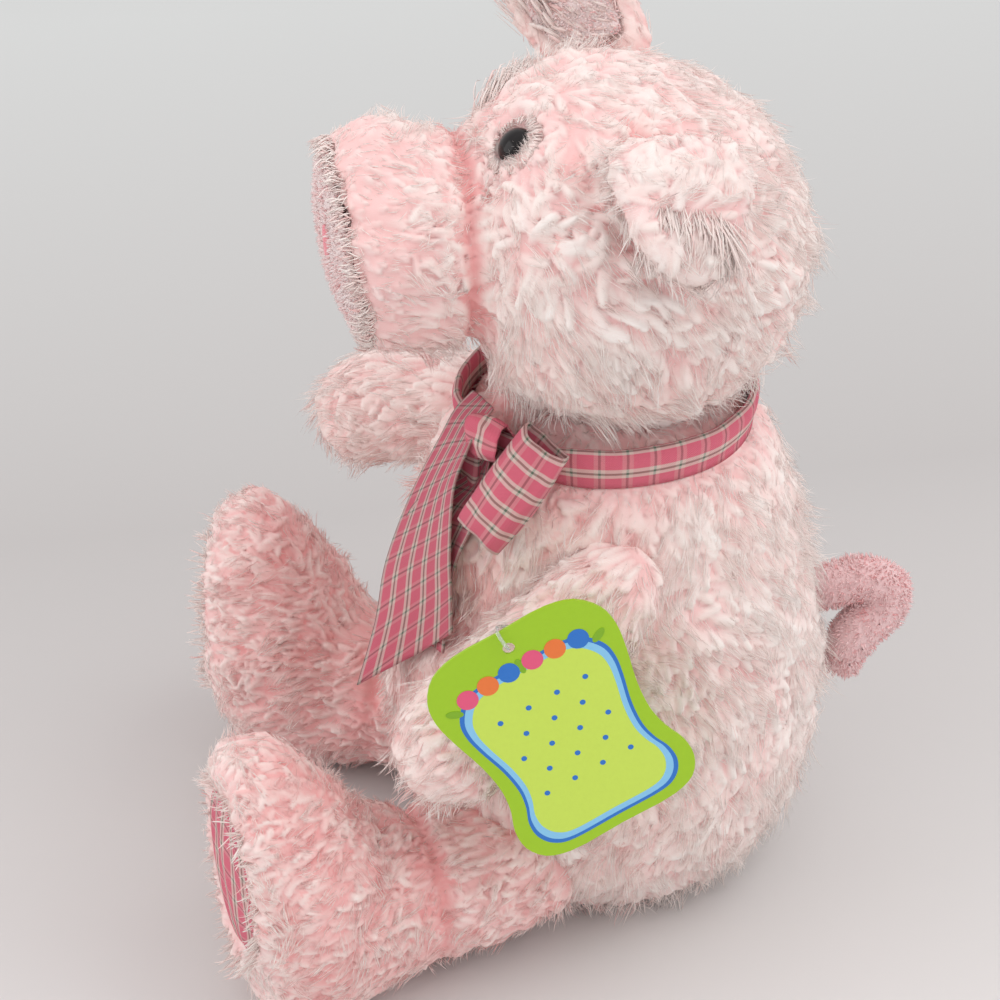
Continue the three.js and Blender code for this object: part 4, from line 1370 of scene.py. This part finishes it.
TAG_CENTRE = np.array((0.074, -0.025, 0.1025))
TAG_TILT, TAG_TURN = math.radians(6), math.radians(27)
TAG_OUT = np.array((math.cos(TAG_TILT), 0.0, math.sin(TAG_TILT)))
TAG_UP = np.array(
    (-math.sin(TAG_TILT) * math.cos(TAG_TURN), -math.sin(TAG_TURN), math.cos(TAG_TILT) * math.cos(TAG_TURN))
)
TAG_RIGHT = np.cross(TAG_UP, TAG_OUT)
# Half the card's width, height and thickness, in millimetres, and its outline in shares of the first two
TAG_HALF_WIDTH, TAG_HALF_HEIGHT, TAG_HALF_THICK = 27, 35, 0.4
TAG_SHARES = [
    (0, 1), (0.5, 1), (0.78, 0.93), (0.96, 0.76), (1, 0.58), (0.96, 0.36), (0.87, 0.05),
    (0.84, -0.22), (0.88, -0.42), (0.96, -0.6), (0.96, -0.78), (0.84, -0.93), (0.6, -1), (0, -1),
]


def printed(name, shape, height, material):
    """A thin printed area that stands a hair's breadth proud of the card, from its outline in millimetres."""
    bpy.ops.object.select_all(action="DESELECT")
    bpy.ops.mesh.primitive_circle_add(vertices=len(shape), radius=1.0, fill_type="NGON")
    area = bpy.context.object
    area.name = name
    for vertex, (x, y) in zip(area.data.vertices, shape):
        vertex.co = TAG_CENTRE + (TAG_RIGHT * x + TAG_UP * y + TAG_OUT * (TAG_HALF_THICK + height)) * MM
    down = {"value": tuple(-TAG_OUT * (height + 0.1) * MM)}
    in_edit_mode(area, (bpy.ops.mesh.extrude_region_move, {"TRANSFORM_OT_translate": down}))
    facing_out(area)
    area.matrix_world = Matrix()
    return finished(area, "card", material)


def card_outline(wide, tall, drop):
    """The outline of the card, made smaller and moved down, in millimetres."""
    half = between(TAG_SHARES, 66) * (TAG_HALF_WIDTH * wide, TAG_HALF_HEIGHT * tall) - (0, drop)
    return [tuple(p) for p in half] + [(-x, y) for x, y in half[-2:0:-1]]


def oval(x, y, wide, tall, turn=0.0, count=20):
    """An oval outline round a point, in millimetres."""
    c, s = math.cos(turn), math.sin(turn)
    turns = np.linspace(0, -math.tau, count, endpoint=False)
    ring = [(wide * math.cos(a), tall * math.sin(a)) for a in turns]
    return [(x + c * u - s * v, y + s * u + c * v) for u, v in ring]


class PLUSHPIG_OT_tag(bpy.types.Operator):
    """Card tag, its printed border and its fastener"""

    bl_idname = "plushpig.tag"
    bl_label = "Tag"

    def execute(self, context):
        tag = settings().tag
        coats = {}
        for name in ("card", "glow", "line", "band", "petal", "orange", "leaf"):
            colour = colour_of(tag, name)
            coat = Finish(
                "tag_" + name, Roughness=0.42, Specular_IOR_Level=0.4, Coat_Weight=0.15, Coat_Roughness=0.3
            )
            grain = coat.noise(coat.place(), 700.0, 3.0)
            coat.use("Base Color", coat.mixed(grain, scaled(colour, 0.94), colour))
            coat.bump(grain, 0.00003)
            coats[name] = coat.material
        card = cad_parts["hang_tag"]
        coloured(card, coats["card"])
        printed("tag_line", card_outline(0.83, 0.80, 4.0), 0.04, coats["line"])
        printed("tag_band", card_outline(0.79, 0.772, 4.0), 0.07, coats["band"])
        printed("tag_middle", card_outline(0.725, 0.725, 4.0), 0.10, coats["glow"])
        for x, name in zip((-16.5, -10, -3.5, 3.5, 10, 16.5), ("petal", "orange", "line") * 2):
            lean = -0.0045 * x * x
            dot = f"tag_dot_{int(x + 17)}"
            printed(dot, oval(x, 23.2 + lean, 2.9, 2.9), 0.13, coats[name])
        for x, y, turn in ((-21.5, 20.0, -0.5), (21.5, 20.0, 0.5), (0, 23.2, 1.57)):
            printed(f"tag_leaf_{int(x + 22)}", oval(x, y, 2.4, 1.1, turn), 0.12, coats["leaf"])
        for row, y in enumerate((11, 4.5, -2, -8.5, -15)):
            for k in range(4 - row % 2):
                x = 8.5 * (k - (3 - row % 2) / 2)
                printed(f"tag_spot_{row}_{k}", oval(x, y, 0.8, 0.8, count=12), 0.13, coats["line"])
        BUILT["hard"].append(obstacle(card))
        clear = Finish("fastener_plastic", Roughness=0.15, Transmission_Weight=0.75, IOR=1.45)
        mist = clear.noise(clear.place(), 800.0, 2.0)
        clear.use("Base Color", clear.mixed(mist, (0.86, 0.88, 0.88), (0.93, 0.94, 0.94)))
        coloured(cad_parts["tag_fastener"], clear.material)
        return {"FINISHED"}


def body_comb(root):
    """Down the body, and shorter under the ribbon. Paler towards the back and pinker towards the front, as
    painted light and painted shade.
    """
    comb = np.tile((0.0, 0.12, -1.0), (len(root), 1))
    scale = np.where(root[:, 2] > 0.150, 0.55, 1.0)
    # Tint by depth: painted light on the back, painted shade on the front.
    return comb, scale, np.clip(0.6 + root[:, 1] * 5.0, 0.35, 0.95), np.full(len(root), 0.7)


def head_comb(root):
    """Back from the face and down, outward round the muzzle's end, and a little away from the eyes. The tint
    grows paler up the head, painted light on its top and painted shade below.
    """
    count = len(root)
    comb = np.tile((0.0, 0.5, -0.7), (count, 1))
    middle = np.array((0.0, 0.0, 0.212))
    outward = unit((root - middle) * (1.0, 0.0, 1.0))
    muzzle = (root[:, 1] < -0.036) & (np.linalg.norm((root - middle) * (1.0, 0.0, 1.0), axis=1) < 0.0335)
    rim = np.clip((-0.050 - root[:, 1]) / 0.014, 0, 1) * muzzle
    comb[muzzle] = outward[muzzle] * 0.3 + np.array((0.0, 0.35, -0.35))
    comb += outward * rim[:, None] * 0.1 + rim[:, None] * np.array((0.0, 1.3, 0.0))
    scale = np.where(muzzle, 0.8, 1.0) * (1 - 0.6 * rim)
    high = np.clip((root[:, 2] - 0.226) / 0.02, 0, 1)
    mottle = np.where(muzzle, 0.6, 1.15 - 0.8 * high)
    for eye in BUILT["eyes"]:
        away = root - eye
        distance = np.linalg.norm(away, axis=1)
        close = np.clip(1 - (distance - 0.005) / 0.008, 0, 1)[:, None]
        comb = comb * (1 - close) + unit(away) * 0.7 * close
        scale = np.where(distance < 0.012, scale * 0.6, scale)
    # Paler higher up: painted light on the crown, painted shade lower down.
    tint = np.clip(0.66 + (root[:, 2] - 0.2) * 4.0, 0.35, 0.95)
    from_tuft = (root - np.array((-0.004, -0.060, 0.240))) / (0.016, 0.012, 0.008)
    tuft = np.clip(1 - np.linalg.norm(from_tuft, axis=1), 0, 1)
    comb += tuft[:, None] * np.array((0.0, -0.6, 2.0))
    return comb, scale * (1 - 0.2 * high) * (1 + 0.9 * tuft), np.maximum(tint, tuft), mottle


def limb_comb(way, drop, foot=None):
    """Along the limb and down. On a foot the pile is shorter and lies away from the sole, and the leg is
    painted pinker than the arms as painted shade.
    """
    way = unit(np.array(way, float))

    def comb(root):
        lay = np.tile(way + np.array((0, 0, -drop)), (len(root), 1))
        scale, tint = np.full(len(root), 0.9), np.full(len(root), 0.55)
        if foot is not None:
            ahead = (root - np.array(foot)) @ way
            near = np.clip(1 + ahead / 0.016, 0, 1)
            radial = root - np.array(foot)
            radial = unit(radial - way * row_dot(radial, way[None]))
            lay = lay * (1 - near[:, None]) + (radial * 0.9 - way * 0.35) * near[:, None]
            scale = 0.68 - 0.1 * near
            # Pinker up the leg, a painted shade; pale at the sole's rim, the hair's own colour.
            tint = 0.27 + 0.65 * near**3
        return lay, scale, tint, np.full(len(root), 0.45)

    return comb


def ear_comb(start, end, pale):
    """From the ear's root to its tip, longer towards the tip."""
    start, end = np.array(start), np.array(end)
    along = unit(end - start)

    def comb(root):
        reach = (root - start) @ along / np.linalg.norm(end - start)
        lay = np.tile(along, (len(root), 1))
        return lay, np.clip(0.8 + 0.4 * reach, 0.7, 1.25), np.full(len(root), pale), np.full(len(root), 0.4)

    return comb


def fluffed(skin, depth, laid, tufts=()):
    """Raises a skin by the depth of its under-pile, more at its tufts and less where something lies on it."""
    mesh = skin.data
    place, out = rows_of(mesh, "co"), rows_of(mesh, "normal")
    lift = np.full(len(place), depth)
    for centre, reach, height in tufts:
        lift += height * np.exp(-(((place - centre) / reach) ** 2).sum(1))
    under_laid(laid, place, lift, 1.5 * depth)
    place += out * lift[:, None]
    off_floor(place, FLOOR_SKIN)
    move_points(mesh, place)
    smooth(skin)


def mirrored(points):
    return [(-x, y, z) for x, y, z in points]


def ring_round(centre, way, radius):
    """Points on a ring round a limb, in millimetres."""
    side = unit(np.cross(way, UP))
    over = np.cross(side, way)
    turns = np.linspace(0, math.tau, 13)
    return [np.array(centre) + radius * (side * math.cos(a) + over * math.sin(a)) for a in turns]


LEG_WAYS = {"left": (0.242, -0.970, 0.0), "right": (-0.454, -0.891, 0.0)}
FURROW = [(13, -13, 250), (24.6, -12.7, 244), (33, -11.7, 238), (38, -9, 232)]
EAR_CLEFT = [(46, -2, 243), (38, -1, 245.5), (28, 2, 247), (18.5, 6, 248), (10, 10, 248)]
CHEEK = [(37.8, -8.4, 233), (43, -2, 227), (46, 6.7, 221)]
GATHER = [(50, 1, 243), (53.5, 8, 241.5), (54.3, 15, 240.3), (54.3, 20, 239)]
MUZZLE_SEAM = ring_round((0, -39, 212), (0.0, 1.0, 0.0), 29)
# Each crease: its points in millimetres, its width, its push, its tint and the share of the length that
# stays. The pink tints on the head and the legs are painted shade in the creases; the pale tint at the ear's
# gather is the hair's own colour.
CREASES = {
    "head": [
        (MUZZLE_SEAM, 5.0, 0.9, 0.0, 0.45),
        (FURROW, 4.5, 0.7, 0.15, 0.5), (mirrored(FURROW), 4.5, 0.7, 0.15, 0.5),
        (EAR_CLEFT, 5.0, 0.8, 0.0, 0.45), (mirrored(EAR_CLEFT), 5.0, 0.8, 0.0, 0.45),
        (CHEEK, 4.0, 0.6, 0.1, 0.6), (mirrored(CHEEK), 4.0, 0.6, 0.1, 0.6),
    ],
    "left_ear": [(GATHER, 9.0, 1.6, 0.95, 0.75)],
    "left_leg": [(ring_round((42.5, -61, 26), LEG_WAYS["left"], 24), 5.0, 0.8, 0.0, 0.5)],
    "right_leg": [(ring_round((-49.9, -58.2, 26), LEG_WAYS["right"], 24), 5.0, 0.8, 0.0, 0.5)],
}


# Where the pile stands up: a middle, a reach and a height, in metres
TUFTS = {
    "head": [
        ((0.0, 0.004, 0.252), (0.030, 0.030, 0.016), 0.0045),
        ((-0.002, -0.060, 0.241), (0.014, 0.008, 0.009), 0.0055),
    ],
    "left_leg": [((0.052, -0.107, 0.079), (0.014, 0.010, 0.009), 0.0045)],
    "right_leg": [((-0.070, -0.099, 0.079), (0.014, 0.010, 0.009), 0.0065)],
}


class PLUSHPIG_OT_pile(bpy.types.Operator):
    """Long pile on every cover"""

    bl_idname = "plushpig.pile"
    bl_label = "Pile"

    def execute(self, context):
        pile = settings().pile
        colours = [colour_of(pile, name) for name in ("root", "middle", "tip")]
        plush = pile_finish("plush_pile", *colours, (0.95, 0.91, 0.875))
        combs = {
            "torso": body_comb,
            "head": head_comb,
            "left_ear": ear_comb((0.027, 0.008, 0.243), (0.057, 0.011, 0.225), 0.85),
            "right_ear": ear_comb((-0.027, 0.008, 0.243), (-0.044, -0.015, 0.275), 0.6),
            "left_arm": limb_comb((0.14, -0.74, -0.65), 0.3),
            "right_arm": limb_comb((-0.46, -0.86, -0.2), 0.35),
            "left_leg": limb_comb(LEG_WAYS["left"], 0.3, (0.0555, -0.1145, 0.0515)),
            "right_leg": limb_comb(LEG_WAYS["right"], 0.3, (-0.0748, -0.1072, 0.0515)),
        }
        skins = {body: BUILT["skins"][body] for body in COVERS}
        before = {}
        for seed, (body, skin) in enumerate(skins.items()):
            fluffed(skin, pile.under, BUILT["hard"], TUFTS.get(body, ()))
            levels = 1 if "ear" in body else 2
            modified(skin, "SUBSURF", levels=levels, render_levels=levels)
            before[body] = worked(skin, 300 + seed, combs[body], CREASES.get(body, ()), BUILT["hard"])
            coloured(skin, plush)
        soft = {body: obstacle(skin) for body, skin in skins.items()}
        for seed, (body, skin) in enumerate(skins.items()):
            coat = Coat(
                skin, 100 + seed, combs[body], 0.54 * pile.length, 0.5 * pile.thickness, pile.density,
                body=False, hairs=2, rise=0.3, base=0.55, creases=CREASES.get(body, ()), normals=before[body],
            )
            coat.locks()
            coat.clear_of_soft([shape for other, shape in soft.items() if other != body])
            coat.clear_of_hard(BUILT["hard"])
            coat.above(FLOOR_HAIR)
            share = self.parted(body, coat.path[:, 0])
            for part in range(share.max() + 1):
                name = COVERS[body][0].replace("plush", "pile") + (f"_{part + 1}" if share.max() else "")
                finished(coat.mesh(name, share == part), body, plush)
        for name, body, hair in (
            ("eye_hair_left", "head", eye_hair(1, 201)),
            ("eye_hair_right", "head", eye_hair(-1, 202)),
            ("brow_pile_right", "head", brow(-1, 205)),
            ("ear_fringe_left", "left_ear", ear_fringe(203)),
            ("muzzle_fringe", "head", muzzle_fringe(231)),
            ("foot_fringe_left", "left_leg", foot_fringe("left", 221)),
            ("foot_fringe_right", "right_leg", foot_fringe("right", 222)),
        ):
            finished(hair.mesh(name), body, plush)
        for side, seed in (("left", 211), ("right", 212)):
            inner = Coat(
                BUILT["skins"]["ear_lining_velour_" + side], seed, combs[side + "_ear"], 0.6 * pile.length,
                0.5 * pile.thickness, EAR_DENSITY, rise=0.5, stray=0.5, hairs=3, base=0.6,
            )
            inner.locks()
            inner.clear_of_soft([soft["head"]])
            finished(inner.mesh("ear_inner_pile_" + side), side + "_ear", plush)
        return {"FINISHED"}

    def parted(self, body, root):
        """Parts the pile of the body in quarters and of the head in halves, so that no mesh is too heavy."""
        share = np.zeros(len(root), int)
        if body in ("torso", "head"):
            share += root[:, 0] > 0
        if body == "torso":
            share += 2 * (root[:, 1] > 0)
        return share


def laid_locks(body, seed, locks, width, hairs):
    """Locks that are given one by one, each with its path in metres, its way out and its tint."""
    paths, outs, tints = zip(*locks)
    coat = Coat(BUILT["skins"][body], seed, None, 0.0, width, 0.0, hairs=hairs, base=0.65, blend=0.1)
    places = coat.STEPS * (len(paths[0]) - 1)
    cell = np.minimum(places.astype(int), len(paths[0]) - 2)
    t = (places - cell)[:, None]
    coat.path = np.array([np.array(p)[cell] * (1 - t) + np.array(p)[cell + 1] * t for p in paths])
    coat.out = unit(np.array(outs, float))
    coat.tint = np.clip(np.array(tints, float), 0, 1)
    coat.girth = width / 2 * (0.7 + 0.6 * coat.rng.random(len(paths)))
    return coat


def eye_hair(side, seed):
    """Fine hair that lies over the rim of an eye, most of it from below and behind."""
    seat = BUILT["eyes"][0 if side > 0 else 1]
    aim = unit(eye_way(side))
    behind = np.array((side * 0.5, 0.62, -0.59))
    behind = unit(behind - aim * np.dot(behind, aim))
    across = np.cross(aim, behind)
    rng = np.random.default_rng(seed)
    start, end = 8.8, 5.4
    locks = []
    for turn in rng.uniform(-math.pi, math.pi, 330):
        share = max(math.cos(turn * 0.8), 0.0) ** 2
        if rng.random() > 0.25 + 0.75 * share:
            continue
        way = behind * math.cos(turn) + across * math.sin(turn)
        lean = (-behind * 0.25 + across * rng.normal() * 0.5) * share
        reach = -0.3 + 1.9 * share * rng.uniform(0.3, 1.1)
        path = []
        for step in np.linspace(0, 1, 6):
            far = start - (start - end + reach) * step
            over = EYE_DOME * math.sqrt(max(1 - (far / (EYE_RADIUS + 0.3)) ** 2, 0))
            dome = over + 0.35 + 0.4 * math.sin(math.pi * step)
            height = max(dome, 1.6 * min(1.0, 0.5 + step * 2))
            path.append(seat + (way * far + lean * 4 * step**2 + aim * height) * MM)
        locks.append((path, aim * 0.8 + way * 0.4, 0.5 + 0.25 * rng.normal()))
    return laid_locks("head", seed, locks, 0.5 * MM, 3)


def brow(side, seed):
    """A soft tuft on the forehead beside an eye."""
    rng = np.random.default_rng(seed)
    steps = np.array(((0, 0, 0), (0.3, 0.4, 3.2), (1.4, 1.4, 5.6), (3.4, 2.8, 6.6), (5.0, 4.2, 6.2)))
    locks = []
    for _ in range(520):
        x, y = rng.normal(size=2)
        low = 0.25 * abs(x) + 1.8 * max(-y, 0.0)
        root = np.array((side * (7.5 + 2.6 * x), -23.5 + 3.6 * y, 246.5 - low)) * MM
        long = rng.uniform(0.7, 1.15)
        lean = rng.normal(size=2) * 0.8
        path = []
        for x, y, z in steps:
            step = np.array((side * (x + lean[0] * z / 6), y + lean[1] * z / 6, z))
            path.append(root + step * long * MM)
        locks.append((path, (side * 0.2, -0.2, 0.9), 0.6 + 0.2 * rng.normal()))
    return laid_locks("head", seed, locks, 0.5 * MM, 1)


def ear_fringe(seed):
    """Long pale hair that hangs from the fold of the left ear."""
    rng = np.random.default_rng(seed)
    fold = between(np.array(GATHER) * MM, 80)
    locks = []
    for _ in range(800):
        place = rng.uniform(0.06, 0.9)
        back = rng.uniform(0, 4.5)
        root = fold[int(place * 79)] + (np.array((-back, 0, 0.12 * back)) + rng.normal(size=3) * 0.6) * MM
        long = rng.uniform(0.35, 0.95)
        fan = (place - 0.5) * 3 + rng.normal() * 4.2
        steps = (
            (2, 0, 0), (6, 0.25 * fan, -1.5), (8.8, 0.6 * fan + 0.6, -7), (8.2, fan + 1.0, -14),
            (5.5, 1.15 * fan + 1.2, -20),
        )
        path = [root + np.array(step) * long * MM for step in steps]
        locks.append((path, (0.7, 0.1 + 0.03 * fan, 0.8), 0.55 + 0.2 * rng.normal()))
    return laid_locks("left_ear", seed, locks, 0.5 * MM, 1)


def fanned(root, way, radial, lean, long, steps):
    """A path from the edge of a patch. Its steps say how far ahead and outward it goes, in millimetres."""
    along = np.cross(way, radial)
    path = []
    for ahead, outward in steps:
        path.append(root + (way * ahead + radial * outward + along * lean * ahead / 5) * long * MM)
    return path


def muzzle_fringe(seed):
    """Pale hair that stands round the snout pad."""
    rng = np.random.default_rng(seed)
    low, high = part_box("snout_pad")
    half_width, half_height = (high[0] - low[0]) / 2, (high[2] - low[2]) / 2
    centre = centre_of("snout_pad")
    steps = ((0, 0.2), (1.4, 1.5), (2.8, 1.5), (4.2, 0.7), (5.4, -0.5))
    locks = []
    for turn in rng.uniform(-math.pi, math.pi, 900):
        across, rise = math.cos(turn), math.sin(turn)
        radial = unit(np.array((across, 0.0, 0.0)) * half_height + PAD_UP * rise * half_width)
        edge = np.array((across * half_width, 0.0, 0.0)) + PAD_UP * rise * half_height
        root = centre + edge + radial * 1.8 * MM - PAD_OUT * rng.uniform(1.0, 5.0) * MM
        long = rng.uniform(0.3, 0.9)
        lean = rng.normal() * 1.7
        path = fanned(root, PAD_OUT, radial, lean, long, steps)
        locks.append((path, radial * 0.5 + UP * 0.7, 0.55 + 0.25 * rng.normal()))
    return laid_locks("head", seed, locks, 0.42 * MM, 1)


def foot_fringe(name, seed):
    """Long pale hair round the edge of a sole."""
    rng = np.random.default_rng(seed)
    way, right = foot_ways(name)
    centre = centre_of("sole_patch_" + name)
    steps = ((0, -0.8), (1.6, 1.2), (3.6, 2.4), (5.4, 3.0), (6.8, 3.0))
    locks = []
    for _ in range(800):
        turn = rng.uniform(-math.pi, math.pi)
        across, up = math.cos(turn), math.sin(turn)
        radial = unit(right * across * 26 + UP * up * 19)
        root = centre + (right * across * 20.5 + UP * up * 27.5 - way * rng.uniform(1.5, 8)) * MM
        long = rng.uniform(0.35, 1.05) * (1 + 0.35 * max(up, 0) ** 3 + 0.4 * max(-up, 0) ** 2)
        long *= 1 - 0.4 * max(-across, 0)
        lean = rng.normal() * 1.6
        path = fanned(root, way, radial, lean, long, steps)
        locks.append((path, radial * 0.4 + UP * 0.8, 0.55 + 0.25 * rng.normal()))
    return laid_locks(name + "_leg", seed, locks, 0.45 * MM, 1)


STEPS = ("studio", "covers", "velour", "eyes", "nostrils", "soles", "bow", "tag", "pile")


class PLUSHPIG_PT_panel(bpy.types.Panel):
    """Lists the steps and their settings"""

    bl_idname = "PLUSHPIG_PT_panel"
    bl_label = "Plush Pig"
    bl_space_type = "VIEW_3D"
    bl_region_type = "UI"
    bl_category = "Plush Pig"

    def draw(self, context):
        for step in STEPS:
            self.layout.operator("plushpig." + step)
        for group in ("pile", "cloth", "tag", "studio"):
            box = self.layout.box()
            owner = getattr(settings(), group)
            for name in owner.__annotations__:
                box.prop(owner, name)


CLASSES = (
    PlushPigPile, PlushPigCloth, PlushPigTag, PlushPigStudio, PlushPigSettings,
    PLUSHPIG_OT_studio, PLUSHPIG_OT_covers, PLUSHPIG_OT_velour, PLUSHPIG_OT_eyes, PLUSHPIG_OT_nostrils,
    PLUSHPIG_OT_soles, PLUSHPIG_OT_bow, PLUSHPIG_OT_tag, PLUSHPIG_OT_pile, PLUSHPIG_PT_panel,
)


def register():
    for entry in CLASSES:
        bpy.utils.register_class(entry)
    bpy.types.Scene.plush_pig = bpy.props.PointerProperty(type=PlushPigSettings)


def unregister():
    del bpy.types.Scene.plush_pig
    for entry in reversed(CLASSES):
        bpy.utils.unregister_class(entry)


def main():
    register()
    for step in STEPS:
        getattr(bpy.ops.plushpig, step)()


if __name__ == "__main__":
    main()
